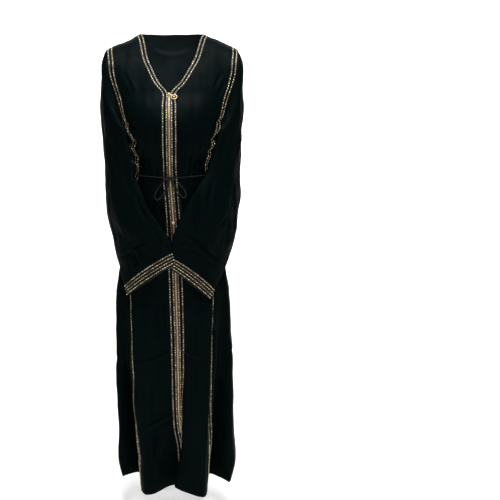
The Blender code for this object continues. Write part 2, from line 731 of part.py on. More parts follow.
def build_sleeve(name, side, table, parts):
    fronts, front_out, flanks, flank_out, back, back_out = parts
    loop, lead, faces = armhole_loop(
        side, fronts[name], front_out[name], flanks[name], flank_out[name], back, back_out
    )
    outer_count = len(faces)
    grid = sleeve_grid(table, loop, lead, outer_count)
    normals = grid_normals(grid, (side, -0.6, 0.0), closed=True)
    middle = grid.mean(axis=1, keepdims=True)
    if ((grid - middle) * normals).sum() < 0:
        normals = -normals
    pleat = np.zeros(grid.shape[1])
    pleat[outer_count // 2 - 5 : outer_count // 2 + 6 : 2] = PLEAT_DEPTH
    strength = np.zeros(len(grid))
    strength[: len(PLEAT_FADE)] = PLEAT_FADE
    grid = grid - normals * (strength[:, None] * pleat)[..., None]
    normals = mitred(grid, normals)
    normals[0, :outer_count] = faces
    wall("sleeve_" + name, grid - normals * WALL, grid, CLOTH, closed=True)
    for k in range(CUFF_TRIMS):
        top = len(grid) - 1 - 2 * CUFF_TRIMS + 2 * k
        rows = slice(top, top + 2)
        label = f"trim_cuff_{name}_{k + 1}"
        strip_on(label, grid[rows], normals[rows], CUFF_TRIM_GAP, TRIM_THICK, TRIM, closed=True)


def piece(name, finish):
    """The active object, just made by a primitive, as a piece of the garment or of another piece."""
    obj = bpy.context.object
    obj.name = name
    obj.data.name = name
    obj.data.materials.append(finish)
    for holder in list(obj.users_collection):
        holder.objects.unlink(obj)
    return obj


def box(name, size, place, finish):
    bpy.ops.mesh.primitive_cube_add(size=1.0, location=place)
    bpy.context.object.scale = size
    bpy.ops.object.transform_apply(location=True, rotation=False, scale=True)
    return piece(name, finish)


def fuse(name, solids, finish):
    """One closed body from solids that overlap, modelled about its own origin."""
    base = solids[0]
    garment.objects.link(base)
    base.name = name
    base.data.name = name
    for k, other in enumerate(solids[1:]):
        cutters.objects.link(other)
        other.hide_render = True
        other.display_type = "WIRE"
        other.parent = base
        join = base.modifiers.new(f"join {k + 1}", "BOOLEAN")
        join.operation = "UNION"
        join.object = other
    base.parent = origin
    return base


def zip_frame(middle, out, height):
    """Place and axes on the chain at this height: across, along the chain upward, and out."""
    row = int(np.searchsorted(-middle[:, 2], -height)) - 1
    t = (middle[row, 2] - height) / (middle[row, 2] - middle[row + 1, 2])
    place = middle[row] + (middle[row + 1] - middle[row]) * t
    up = unit(middle[row] - middle[row + 1])
    normal = unit(out[row] + (out[row + 1] - out[row]) * t)
    across = unit(np.cross(up, normal))
    normal = np.cross(across, up)
    turn = Matrix(np.stack([across, up, normal], axis=1).tolist()).to_4x4()
    return Matrix.Translation(Vector(place.tolist())) @ turn


def slider_solids(name):
    """A slider's body, its two posts and the bar that the pull hangs on, with the chain below it."""
    low = CHAIN_THICK + TRIM_GAP
    body = box(name, (SLIDER_WIDTH, SLIDER_LENGTH, SLIDER_THICK), (0, 0, low + SLIDER_THICK / 2), BRASS)
    bevel = body.modifiers.new("rounded", "BEVEL")
    bevel.width = 0.0008
    bevel.segments = 2
    return body, low + SLIDER_THICK


def build_top_slider(middle, out):
    frame = zip_frame(middle, out, ZIP_TOP_Z - SLIDER_TOP_BELOW)
    body, top = slider_solids("zip_slider_top")
    turn = Matrix.Rotation(math.radians(PULL_TURN), 4, "Z")
    solids = [body]
    for k in (-1, 1):
        place = turn @ Vector((k * 0.0026, 0, top + HINGE_HEIGHT / 2))
        post = box(f"slider_post_{k + 2}", (0.0010, 0.0018, HINGE_HEIGHT + 0.0014), (0, 0, 0), BRASS)
        post.data.transform(Matrix.Translation(place) @ turn)
        solids.append(post)
    bpy.ops.mesh.primitive_cylinder_add(vertices=10, radius=BAR_RADIUS, depth=0.0056)
    bar = piece("slider_bar", BRASS)
    lift = Matrix.Translation((0, 0, top + HINGE_HEIGHT))
    bar.data.transform(lift @ turn @ Matrix.Rotation(math.pi / 2, 4, "Y"))
    solids.append(bar)
    slider = fuse("zip_slider_top", solids, BRASS)
    slider.matrix_world = frame
    build_pull(frame @ lift @ turn)


def build_pull(hinge):
    """The ring pull, hanging along its own -Y from the hinge bar, which is its X axis."""
    bpy.ops.mesh.primitive_torus_add(
        major_segments=20, minor_segments=6, major_radius=RING_RADIUS, minor_radius=RING_WIRE
    )
    ring = piece("zip_pull", BRASS)
    ring.data.transform(Matrix.Translation((0, -RING_REACH, 0)))
    bpy.ops.mesh.primitive_torus_add(
        major_segments=12, minor_segments=6, major_radius=EYE_RADIUS, minor_radius=EYE_WIRE
    )
    eye = piece("pull_eye", BRASS)
    eye.data.transform(Matrix.Rotation(math.pi / 2, 4, "Y"))
    near = EYE_RADIUS
    far = RING_REACH - RING_RADIUS
    lug = box("pull_lug", (0.0018, far - near, 0.0010), (0, -(near + far) / 2, 0), BRASS)
    inner = RING_REACH - RING_RADIUS
    stem = box("pull_stem", (0.0010, 0.0065, 0.0008), (0, -inner - 0.00325, 0), BRASS)
    bpy.ops.mesh.primitive_uv_sphere_add(segments=8, ring_count=6, radius=CHARM_RADIUS)
    charm = piece("pull_charm", BRASS)
    charm.data.transform(Matrix.Translation((0, -RING_REACH, 0)) @ Matrix.Diagonal((1, 1.35, 0.75, 1)))
    pull = fuse("zip_pull", [ring, eye, lug, stem, charm], BRASS)
    pull.matrix_world = hinge


def build_low_slider(middle, out):
    """The lower slider, whose small tab lies flat on it."""
    frame = zip_frame(middle, out, SLIDER_LOW_Z)
    body, top = slider_solids("zip_slider_low")
    bpy.ops.mesh.primitive_uv_sphere_add(segments=10, ring_count=6, radius=1.0)
    tab = piece("slider_tab", BRASS)
    shape = Matrix.Diagonal((0.0030, 0.0052, 0.0012, 1))
    tilt = Matrix.Rotation(math.radians(55.0), 4, "Z")
    tab.data.transform(Matrix.Translation((-0.0008, 0.0005, top)) @ tilt @ shape)
    slider = fuse("zip_slider_low", [body, tab], BRASS)
    slider.matrix_world = frame


def knot_exit(middle, direction):
    """The end face of a cord that leaves the knot this way, just clear of it, and its first point on."""
    direction = unit(np.array(direction))
    reach = 1.0 / np.linalg.norm(direction / np.array(KNOT_SIZE)) + KNOT_CLEAR
    return [middle + direction * reach, middle + direction * (reach + CORD_RADIUS)]


def build_waist_cord(parts):
    """The cord's ring, over the trim in front and in the gathers elsewhere, and its bow."""
    fronts, front_out, flanks, flank_out, back, back_out = parts
    row = int(np.argmin(np.abs(row_heights() - WAIST_Z)))
    near = WALL + CORD_CLEAR + CORD_RADIUS
    over = near + TRIM_GAP + TRIM_THICK
    points = []
    for name, step in (("left", 1), ("right", -1)):
        front, out = fronts[name][YOKE + row], front_out[name][YOKE + row]
        columns = len(front)
        half = []
        for c in range(columns):
            lift = near if 4 <= c < columns - 4 else over
            half.append(front[c] + out[c] * lift)
        flank, out = flanks[name][row], flank_out[name][row]
        half += [flank[c] + out[c] * near for c in range(2, SIDE_SEGMENTS + 1, 2)]
        if step > 0:
            points += half
            line, out = back[BACK_YOKE_ROWS + row], back_out[BACK_YOKE_ROWS + row]
            points += [line[c] + out[c] * near for c in range(2, BACK_SEGMENTS - 1, 2)]
        else:
            points += half[::-1]
    tube("cord_waist", points, CORD_RADIUS, CORD, closed=True)
    front_middle = (points[0] + points[-1]) / 2
    bpy.ops.mesh.primitive_uv_sphere_add(segments=12, ring_count=8, radius=1.0)
    knot = piece("bow_knot", CORD)
    knot.data.transform(Matrix.Diagonal((*KNOT_SIZE, 1)))
    garment.objects.link(knot)
    knot.parent = origin
    away = CORD_RADIUS + 0.0004 + KNOT_SIZE[1]
    middle = front_middle + np.array([0.0, -away, -0.002])
    knot.location = middle
    for bow in BOW:
        leaves = knot_exit(middle, bow.leaves)
        returns = knot_exit(middle, bow.returns) if bow.returns else []
        route = smooth_path([leaves[1], *bow.route, *returns[1:]], 17 if bow.returns else 8)
        tube("bow_" + bow.name, [leaves[0], *route, *returns[:1]], bow.radius, CORD)


parts = build_body()
build_binding(parts[4], parts[5])
build_panel_trims(parts[0], parts[1])
zip_middle, zip_out = build_zip(parts[0], parts[1])
build_top_slider(zip_middle, zip_out)
build_low_slider(zip_middle, zip_out)
build_waist_cord(parts)
build_sleeve("right", -1, RIGHT_SLEEVE, parts)
build_sleeve("left", 1, LEFT_SLEEVE, parts)
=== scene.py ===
"""The looks of an empty, worn abaya: crepe panels with their folds, beaded rows, zip and tied cord.

It is laid out as a Blender add-on and run as a script. Metres, +Z up. The front faces -Y and the
wearer's left is +X, as in the solids. The tables below repeat the cut of the solids, and the fine
cloth is worked out from them again with more rows and columns, so every piece stays in its place.
"""

import functools
import json
import math
from collections import namedtuple

import bmesh
import bpy
import numpy as np
from bpy.props import FloatProperty, FloatVectorProperty, PointerProperty
from mathutils import Matrix, Vector


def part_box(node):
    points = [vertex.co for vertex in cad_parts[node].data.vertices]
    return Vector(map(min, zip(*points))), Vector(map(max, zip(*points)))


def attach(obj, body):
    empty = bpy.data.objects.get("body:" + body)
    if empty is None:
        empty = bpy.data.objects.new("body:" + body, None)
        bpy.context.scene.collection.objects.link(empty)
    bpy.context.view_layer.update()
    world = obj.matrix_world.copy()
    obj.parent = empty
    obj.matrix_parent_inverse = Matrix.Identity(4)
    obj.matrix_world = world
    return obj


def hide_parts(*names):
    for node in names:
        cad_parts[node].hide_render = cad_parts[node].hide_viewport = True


bl_info = {
    "name": "Abaya",
    "version": (1, 0, 0),
    "blender": (4, 5, 0),
    "location": "3D View > Sidebar > Abaya",
    "description": "Makes a worn, empty abaya with beaded rows, a zip and a tied waist cord",
    "category": "Add Mesh",
}

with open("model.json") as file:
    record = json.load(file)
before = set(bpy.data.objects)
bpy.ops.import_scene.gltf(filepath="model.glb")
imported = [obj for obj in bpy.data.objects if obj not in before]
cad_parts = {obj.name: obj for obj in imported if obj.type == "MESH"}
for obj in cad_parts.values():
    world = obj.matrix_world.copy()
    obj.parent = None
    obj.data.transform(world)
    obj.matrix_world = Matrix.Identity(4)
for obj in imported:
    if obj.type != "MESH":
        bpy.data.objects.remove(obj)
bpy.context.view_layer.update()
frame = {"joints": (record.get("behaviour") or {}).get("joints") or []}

# Cut of the garment, as in the solids
HEM_Z = -1.42
WALL = 0.0013
SEAM_GAP = 0.0004
NECK_HALF = 0.095
BACK_NECK_DEPTH = 0.053
BACK_NECK_RISE = 0.005
SHOULDER_HALF = 0.195
SHOULDER_DROP = 0.045
UNDERARM_Z = -0.270
WAIST_Z = -0.419
WAIST_TILT = 0.014
WAIST_TILT_REACH = 0.10
WAIST_TILT_ARM = 0.1
ROUNDNESS = 2.3
SIDE_SEAM_ANGLE = 96.0
FOLD_START_SHARE = 0.62
ZIP_PULL_POWER = 6
FOLDED_FROM_Z = -0.72
FOLDED_OVER = 0.5
BACK_NECK_SHARE = 0.5
BACK_TURN = 0.8
BACK_SHOULDER_FULLNESS = 0.085
HEAD_OUTSET = 0.075
EDGE_FULLNESS = 0.8
MOST_MITRE = 1.8
TRIM_WIDTH = 0.005
TRIM_GAP = 0.0004
TRIM_THICK = 0.0016
PLACKET_TRIM_ENDS = (("inner", -1.30), ("outer", -1.36))
CUFF_TRIM_STEP = 0.009
CUFF_TRIM_GAP = 0.0009
CUFF_TRIMS = 4
CUFF_EDGE = 0.002
BINDING_WIDTH = 0.008
PLACKET_HALF_GAP = 0.0055
CLOSED_HALF_GAP = 0.0005
TAPE_THICK = 0.0009
TAPE_INNER = 0.0008
CHAIN_HALF = 0.0023
CHAIN_THICK = 0.0022
ZIP_TOP_Z = -0.190
ZIP_END_Z = -1.235
CLOSED_FRONT_Z = -1.29
SLIDER_WIDTH = 0.0084
SLIDER_LENGTH = 0.011
SLIDER_THICK = 0.0026
SLIDER_TOP_BELOW = 0.0075
SLIDER_LOW_Z = -0.578
HINGE_HEIGHT = 0.0024
BAR_RADIUS = 0.0007
EYE_RADIUS = 0.0016
EYE_WIRE = 0.0005
RING_RADIUS = 0.0082
RING_WIRE = 0.0010
RING_REACH = 0.0190
PULL_TURN = 51.0
CHARM_RADIUS = 0.0022
CORD_RADIUS = 0.0021
TAIL_RADIUS = 0.0017
CORD_CLEAR = 0.0007
KNOT_SIZE = (0.0080, 0.0048, 0.0064)
KNOT_CLEAR = 0.0005

# Trim, zip and cord, where they are finer than the solids
BRAID_STEP = 0.004
BRAID_SHARE = 0.94
BRAID_TAPER = 0.86
BRAID_THICK = 0.0006
STONE_LIFT = 0.0010
STONE_JITTER = 0.00012
BEAD_LIFT = 0.0009
BEAD_OFF = 0.0006
BEAD_STEP = 0.33
BINDING_THICK = 0.0006
TAPE_BEAD = 0.0003
TEETH_LIFT = 0.0002
POST_X = 0.0026
BAR_LENGTH = 0.0056
KNOB_SIZE = (0.0030, 0.0052, 0.0012)
KNOB_TURN = 55.0
CORD_STEP = 0.0009
CORD_WRAP = 0.0115
CORD_FALL_COLUMNS = 5.0
KNOT_CORD_SHARE = 0.86
KNOT_LEAN = 0.6
KnotTurn = namedtuple("KnotTurn", "offset tilt wide tall")
KNOT_TURNS = (
    KnotTurn(-0.0032, 0.30, 0.0026, 0.0042),
    KnotTurn(0.0032, -0.30, 0.0026, 0.0042),
    KnotTurn(0.0, 0.0, 0.0030, 0.0046),
)

# Heights of the solids' rows, which the fine rows pass through: bodice, waist, skirt, below the zip
CUT_HEIGHTS = np.concatenate([
    np.linspace(UNDERARM_Z, -0.372, 4),
    (WAIST_Z + 0.022, WAIST_Z, WAIST_Z - 0.024),
    np.linspace(-0.485, ZIP_END_Z, 11),
    np.linspace(CLOSED_FRONT_Z, HEM_Z, 3),
])

# How finely the cloth is divided
EDGE_COLUMNS = (0.0, 0.0025, 0.005, 0.008, 0.011, 0.0135, 0.016)
INNER_ROW, OUTER_ROW = 1, 5
FRONT_BETWEEN = 34
SIDE_SEGMENTS = 34
BACK_SEGMENTS = 120
UPPER_ROWS = 58
LOWER_ROWS = 250
BACK_YOKE_ROWS = 7
SLEEVE_OUTER = 70
SLEEVE_UNDER = 46
SLEEVE_HEAD_ROWS = 44
SLEEVE_ROWS = 100
CUFF_ROWS = 10
BINDING_ROWS = 7
DENSE = 481

# Seams, gathers, pleats and creases of the fine cloth
SEAM_TUCK = 0.0007
SEAM_TUCK_BESIDE = 0.35
WAIST_RADIUS = 0.13
ARMHOLE_GAP = 0.0006
GATHER_DEPTH = 0.0030
GATHER_PITCH = 0.019
GATHER_TILT = 0.6
GATHER_ABOVE = 0.050
GATHER_BELOW = 0.110
PLEAT_DEPTH = 0.0022
PLEAT_PITCH = 0.150
PLEAT_REACH = 1.05
PLEAT_SIDES_OVER = 0.3
PLEATS_START_OVER = 0.12
PLEATS_END_AT = 0.95
PLEATS_END_OVER = 0.75
SLEEVE_UNEVENNESS = 1.5
SLEEVE_CALM_HEAD = 0.10
CUFF_CALM_ROWS = 12.0
CUFF_CREASED = 0.15
RIM_STANDS_OUT = 0.45
CREASE_POINTS = 14
FACES_FROM = 0.15
FACES_OVER = 0.45
CREASE_STARTS_OVER = 0.22
CREASE_ENDS_OVER = 0.30
RIDGE_SHARE = 0.55
RIDGE_OFF = 1.7
RIDGE_WIDTH = 1.15
WaveBand = namedtuple("WaveBand", "count shortest longest height")
WAVE_SEED = 29
WAVE_BANDS = (WaveBand(14, 0.060, 0.150, 0.00042), WaveBand(18, 0.020, 0.050, 0.00013))

Section = namedtuple("Section", "name z half_width front back")
SECTIONS = (
    Section("underarm", -0.270, 0.156, -0.197, 0.106),
    Section("bust", -0.300, 0.147, -0.196, 0.103),
    Section("under bust", -0.345, 0.135, -0.184, 0.093),
    Section("ribs", -0.380, 0.126, -0.167, 0.084),
    Section("waist", -0.419, 0.121, -0.147, 0.079),
    Section("high hip", -0.480, 0.139, -0.138, 0.101),
    Section("hip", -0.600, 0.157, -0.124, 0.123),
    Section("thigh", -0.730, 0.168, -0.113, 0.136),
    Section("cuffs", -0.820, 0.179, -0.116, 0.140),
    Section("knee", -0.950, 0.183, -0.124, 0.143),
    Section("calf", -1.200, 0.183, -0.132, 0.149),
    Section("hem", -1.420, 0.178, -0.136, 0.152),
)

SeamAngle = namedtuple("SeamAngle", "z angle")
PRINCESS = (
    SeamAngle(-0.270, 66.0),
    SeamAngle(-0.300, 62.0),
    SeamAngle(-0.430, 62.0),
    SeamAngle(-0.600, 56.0),
    SeamAngle(-0.800, 50.0),
    SeamAngle(-0.990, 47.5),
    SeamAngle(-1.140, 47.5),
    SeamAngle(-1.420, 51.0),
)

ZipPlace = namedtuple("ZipPlace", "z x")
ZIP_LINE = (
    ZipPlace(0.0, 0.0),
    ZipPlace(-0.085, -0.004),
    ZipPlace(-0.190, -0.010),
    ZipPlace(-0.275, -0.010),
    ZipPlace(-0.425, -0.007),
    ZipPlace(-0.525, 0.000),
    ZipPlace(-0.875, 0.014),
    ZipPlace(-1.235, 0.030),
    ZipPlace(-1.420, 0.035),
)

Fold = namedtuple("Fold", "name angle x y lift rise")
FOLDS = (
    Fold("back right", -155, -0.056, 0.153, 0.000, -0.75),
    Fold("rear ridge right", -132, -0.118, 0.122, 0.000, -0.60),
    Fold("rear valley right", -112, -0.139, 0.062, 0.006, -0.60),
    Fold("side back right", -98, -0.159, 0.020, 0.016, -0.60),
    Fold("side ridge right", -82, -0.158, -0.034, 0.026, -0.60),
    Fold("valley behind trim right", -66, -0.100, 0.006, 0.026, -0.52),
    Fold("trim ridge right", -48, -0.0936, -0.121, 0.008, -0.45),
    Fold("front ridge right", -29, -0.064, -0.149, 0.008, -0.66),
    Fold("slope to the closed front", -9, 0.002, -0.093, 0.019, -0.72),
    Fold("closed front", 0, 0.039, -0.083, 0.020, -0.72),
    Fold("fold over the closed front", 9, 0.010, -0.123, 0.026, -1.10),
    Fold("front ridge left", 30, 0.082, -0.153, 0.002, -0.66),
    Fold("trim ridge left", 47, 0.1060, -0.121, 0.000, -0.45),
    Fold("valley behind trim left", 64, 0.108, 0.004, 0.022, -0.52),
    Fold("side ridge left", 81, 0.182, -0.048, 0.012, -0.60),
    Fold("side left", 93, 0.198, 0.002, 0.012, -0.60),
    Fold("rear valley left", 106, 0.178, 0.038, 0.008, -0.60),
    Fold("rear ridge left", 121, 0.167, 0.084, 0.000, -0.60),
    Fold("back corner left", 141, 0.112, 0.138, 0.000, -0.75),
    Fold("back left", 160, 0.050, 0.157, 0.000, -0.75),
    Fold("back valley", 179, -0.004, 0.132, 0.004, -0.80),
)

YokeRow = namedtuple("YokeRow", "name inner_x inner_y inner_z outer_x outer_y outer_z sweep")
FRONT_YOKE = (
    YokeRow("shoulder seam", 0.095, -0.0002, 0.000, 0.195, -0.0002, -0.045, 1.0),
    YokeRow("over shoulder", 0.089, -0.034, -0.012, 0.197, -0.033, -0.052, 1.0),
    YokeRow("collar bone", 0.081, -0.062, -0.040, 0.197, -0.062, -0.068, 1.0),
    YokeRow("upper chest", 0.071, -0.084, -0.080, 0.194, -0.085, -0.093, 1.1),
    YokeRow("chest", 0.051, -0.114, -0.124, 0.190, -0.095, -0.128, 1.6),
    YokeRow("neck point", 0.029, -0.138, -0.162, 0.180, -0.101, -0.166, 2.0),
    YokeRow("zip top", 0.0055, -0.154, -0.190, 0.167, -0.108, -0.202, 2.4),
    YokeRow("upper bust", 0.0055, -0.183, -0.233, 0.155, -0.112, -0.238, 2.7),
)
YOKE = len(FRONT_YOKE)

SleeveSection = namedtuple("SleeveSection", "name front back bulge thick")
SLEEVES = {
    "left": (
        SleeveSection("upper arm", (0.149, -0.131, -0.300), (0.188, 0.034, -0.292), 0.024, 0.044),
        SleeveSection("elbow", (0.108, -0.136, -0.412), (0.198, 0.020, -0.422), 0.027, 0.040),
        SleeveSection("forearm", (0.052, -0.163, -0.508), (0.203, -0.004, -0.540), 0.037, 0.034),
        SleeveSection("wrist", (0.005, -0.163, -0.606), (0.188, -0.020, -0.660), 0.037, 0.027),
        SleeveSection("cuff top", (-0.007, -0.155, -0.672), (0.153, -0.076, -0.738), 0.022, 0.017),
        SleeveSection("cuff edge", (-0.008, -0.149, -0.712), (0.113, -0.116, -0.812), 0.008, 0.013),
    ),
    "right": (
        SleeveSection("upper arm", (-0.142, -0.139, -0.300), (-0.190, 0.034, -0.292), 0.028, 0.044),
        SleeveSection("elbow", (-0.121, -0.141, -0.412), (-0.196, 0.020, -0.422), 0.026, 0.038),
        SleeveSection("forearm", (-0.080, -0.163, -0.520), (-0.196, -0.004, -0.540), 0.034, 0.034),
        SleeveSection("wrist", (-0.014, -0.177, -0.618), (-0.180, -0.020, -0.650), 0.036, 0.027),
        SleeveSection("cuff top", (-0.004, -0.174, -0.662), (-0.158, -0.074, -0.738), 0.018, 0.016),
        SleeveSection("cuff edge", (0.006, -0.168, -0.698), (-0.136, -0.115, -0.800), 0.006, 0.013),
    ),
}

BowPiece = namedtuple("BowPiece", "name radius leaves route returns")
BOW = (
    BowPiece(
        "loop_right", CORD_RADIUS, (-1.0, -0.15, 0.02),
        (
            (-0.027, -0.158, -0.452), (-0.041, -0.156, -0.470), (-0.0515, -0.155, -0.489),
            (-0.0530, -0.155, -0.500), (-0.0465, -0.155, -0.507), (-0.0370, -0.1555, -0.502),
            (-0.0270, -0.156, -0.487), (-0.0185, -0.1575, -0.468),
        ),
        (-0.80, -0.15, -0.66),
    ),
    BowPiece(
        "loop_left", CORD_RADIUS, (1.0, -0.15, 0.02),
        (
            (0.0145, -0.158, -0.452), (0.0280, -0.156, -0.468), (0.0385, -0.155, -0.485),
            (0.0395, -0.155, -0.496), (0.0325, -0.155, -0.501), (0.0235, -0.1555, -0.492),
            (0.0130, -0.157, -0.474), (0.0045, -0.158, -0.461),
        ),
        (0.80, -0.15, -0.66),
    ),
    BowPiece(
        "tail_right", TAIL_RADIUS, (-0.34, 0.30, -1.0),
        ((-0.0125, -0.1530, -0.464), (-0.0200, -0.1500, -0.484), (-0.0265, -0.1480, -0.503)),
        None,
    ),
    BowPiece(
        "tail_left", TAIL_RADIUS, (0.34, 0.30, -1.0),
        (
            (0.0020, -0.1530, -0.466), (0.0120, -0.1500, -0.485), (0.0210, -0.1480, -0.507),
            (0.0245, -0.1475, -0.530), (0.0245, -0.1475, -0.557),
        ),
        None,
    ),
)

# Creases, listed by the side that they are seen from: the front and back as (x, z), the left
# and right as (y, z). Each row gives the trough's depth, its half width and its route. A soft ridge
# stands on the left of the route.
BODY_CREASES = {
    "front": (
        (0.0085, 0.0300, (0.150, -0.395), (0.080, -0.402), (0.000, -0.404), (-0.080, -0.402),
         (-0.150, -0.395)),
        (0.0250, 0.0120, (-0.142, -0.660), (-0.138, -0.860), (-0.127, -1.120), (-0.111, -1.320)),
        (0.0150, 0.0120, (0.112, -1.420), (0.122, -1.200), (0.132, -0.950), (0.138, -0.640)),
        (0.0075, 0.0050, (0.004, -0.966), (-0.022, -0.980), (-0.062, -0.9995), (-0.108, -1.008)),
        (0.0070, 0.0050, (0.010, -1.168), (-0.020, -1.183), (-0.045, -1.194), (-0.090, -1.209)),
        (0.0060, 0.0140, (-0.022, -0.985), (-0.036, -1.050), (-0.050, -1.110), (-0.056, -1.160)),
        (0.0050, 0.0110, (-0.084, -1.235), (-0.074, -1.290), (-0.064, -1.340), (-0.058, -1.395)),
        (0.0045, 0.0120, (-0.030, -1.215), (-0.048, -1.270), (-0.060, -1.330)),
        (0.0056, 0.0050, (0.084, -0.990), (0.064, -0.982), (0.045, -0.977), (0.030, -0.972)),
        (0.0045, 0.0050, (-0.080, -1.255), (-0.070, -1.295), (-0.058, -1.335), (-0.050, -1.372)),
        (0.0040, 0.0120, (0.058, -0.840), (0.064, -0.960), (0.060, -1.120), (0.066, -1.240)),
        (0.0040, 0.0130, (-0.060, -0.820), (-0.052, -0.900), (-0.056, -0.975)),
        (0.0032, 0.0080, (-0.030, -0.800), (-0.026, -0.900), (-0.034, -1.000)),
        (0.0060, 0.0100, (-0.113, -0.285), (-0.116, -0.330), (-0.113, -0.385)),
        (0.0045, 0.0080, (-0.090, -0.330), (-0.094, -0.380), (-0.090, -0.420)),
        (0.0045, 0.0100, (-0.052, -0.292), (-0.055, -0.340), (-0.050, -0.400)),
        (0.0065, 0.0110, (0.028, -0.285), (0.034, -0.330), (0.030, -0.385), (0.028, -0.425)),
        (0.0040, 0.0090, (0.088, -0.300), (0.092, -0.350), (0.086, -0.410)),
        (0.0030, 0.0060, (0.060, -0.320), (0.064, -0.370), (0.060, -0.420)),
        (0.0022, 0.0055, (0.150, -0.125), (0.132, -0.160), (0.120, -0.190)),
        (0.0020, 0.0050, (0.168, -0.150), (0.150, -0.172), (0.134, -0.205)),
        (0.0018, 0.0060, (-0.150, -0.120), (-0.128, -0.165), (-0.112, -0.200)),
        (0.0035, 0.0070, (0.050, -0.455), (0.072, -0.500), (0.090, -0.560)),
        (0.0035, 0.0070, (-0.045, -0.460), (-0.060, -0.520), (-0.066, -0.600)),
        (0.0095, 0.0065, (0.158, -0.268), (0.138, -0.276), (0.116, -0.300)),
        (0.0110, 0.0065, (0.156, -0.302), (0.134, -0.318), (0.108, -0.338)),
        (0.0090, 0.0060, (0.140, -0.340), (0.122, -0.356), (0.100, -0.372)),
        (0.0080, 0.0065, (-0.100, -0.300), (-0.128, -0.286), (-0.154, -0.272)),
        (0.0095, 0.0065, (-0.096, -0.352), (-0.120, -0.336), (-0.148, -0.316)),
        (0.0080, 0.0060, (-0.096, -0.392), (-0.116, -0.376), (-0.136, -0.362)),
    ),
    "left": (
        (0.0120, 0.0500, (-0.070, -1.424), (0.000, -1.424), (0.050, -1.424), (0.110, -1.424)),
        (0.0045, 0.0080, (-0.118, -0.255), (-0.090, -0.275), (-0.050, -0.300), (-0.020, -0.310)),
        (0.0045, 0.0080, (-0.130, -0.300), (-0.100, -0.330), (-0.060, -0.345), (-0.030, -0.350)),
        (0.0040, 0.0070, (-0.120, -0.350), (-0.080, -0.375), (-0.040, -0.385)),
        (0.0013, 0.0090, (-0.060, -0.985), (-0.020, -0.992), (0.040, -0.986), (0.070, -0.975)),
        (0.0020, 0.0080, (-0.110, -0.905), (-0.085, -0.915), (-0.060, -0.905)),
        (0.0045, 0.0120, (0.030, -0.560), (0.050, -0.700), (0.040, -0.860)),
        (0.0040, 0.0110, (0.090, -0.640), (0.100, -0.820), (0.090, -1.020)),
    ),
    "right": (
        (0.0120, 0.0500, (-0.070, -1.424), (0.000, -1.424), (0.050, -1.424), (0.110, -1.424)),
        (0.0045, 0.0080, (-0.118, -0.262), (-0.080, -0.290), (-0.040, -0.305)),
        (0.0045, 0.0080, (-0.128, -0.325), (-0.095, -0.345), (-0.045, -0.350)),
        (0.0035, 0.0070, (-0.118, -0.360), (-0.080, -0.385), (-0.030, -0.392)),
        (0.0013, 0.0090, (-0.070, -1.010), (-0.030, -1.020), (0.020, -1.006), (0.060, -1.012)),
        (0.0045, 0.0120, (0.020, -0.580), (0.045, -0.720), (0.036, -0.900)),
        (0.0040, 0.0110, (0.095, -0.600), (0.092, -0.780), (0.104, -0.960)),
    ),
    "back": (
        (0.0040, 0.0080, (-0.120, -0.985), (-0.070, -0.998), (-0.010, -0.984), (0.050, -0.996),
         (0.115, -0.982)),
        (0.0034, 0.0070, (-0.105, -1.205), (-0.050, -1.214), (0.020, -1.200), (0.090, -1.212)),
        (0.0032, 0.0070, (-0.100, -0.720), (-0.040, -0.732), (0.030, -0.720), (0.105, -0.734)),
        (0.0070, 0.0160, (-0.060, -0.460), (-0.064, -0.600), (-0.058, -0.760)),
        (0.0070, 0.0150, (0.052, -0.455), (0.058, -0.580), (0.050, -0.740)),
        (0.0055, 0.0120, (-0.014, -0.450), (-0.008, -0.560), (-0.012, -0.660)),
        (0.0055, 0.0130, (0.092, -0.470), (0.100, -0.600), (0.094, -0.820)),
        (0.0055, 0.0130, (-0.098, -0.470), (-0.104, -0.620), (-0.096, -0.840)),
        (0.0050, 0.0120, (-0.070, -0.250), (-0.058, -0.310), (-0.040, -0.390)),
        (0.0050, 0.0120, (0.072, -0.245), (0.060, -0.310), (0.044, -0.392)),
        (0.0040, 0.0100, (0.000, -0.240), (0.006, -0.320), (-0.004, -0.395)),
        (0.0036, 0.0090, (-0.140, -0.120), (-0.118, -0.190), (-0.100, -0.260)),
        (0.0036, 0.0090, (0.140, -0.116), (0.120, -0.190), (0.102, -0.256)),
        (0.0026, 0.0070, (-0.070, -0.040), (0.000, -0.056), (0.066, -0.040)),
    ),
}
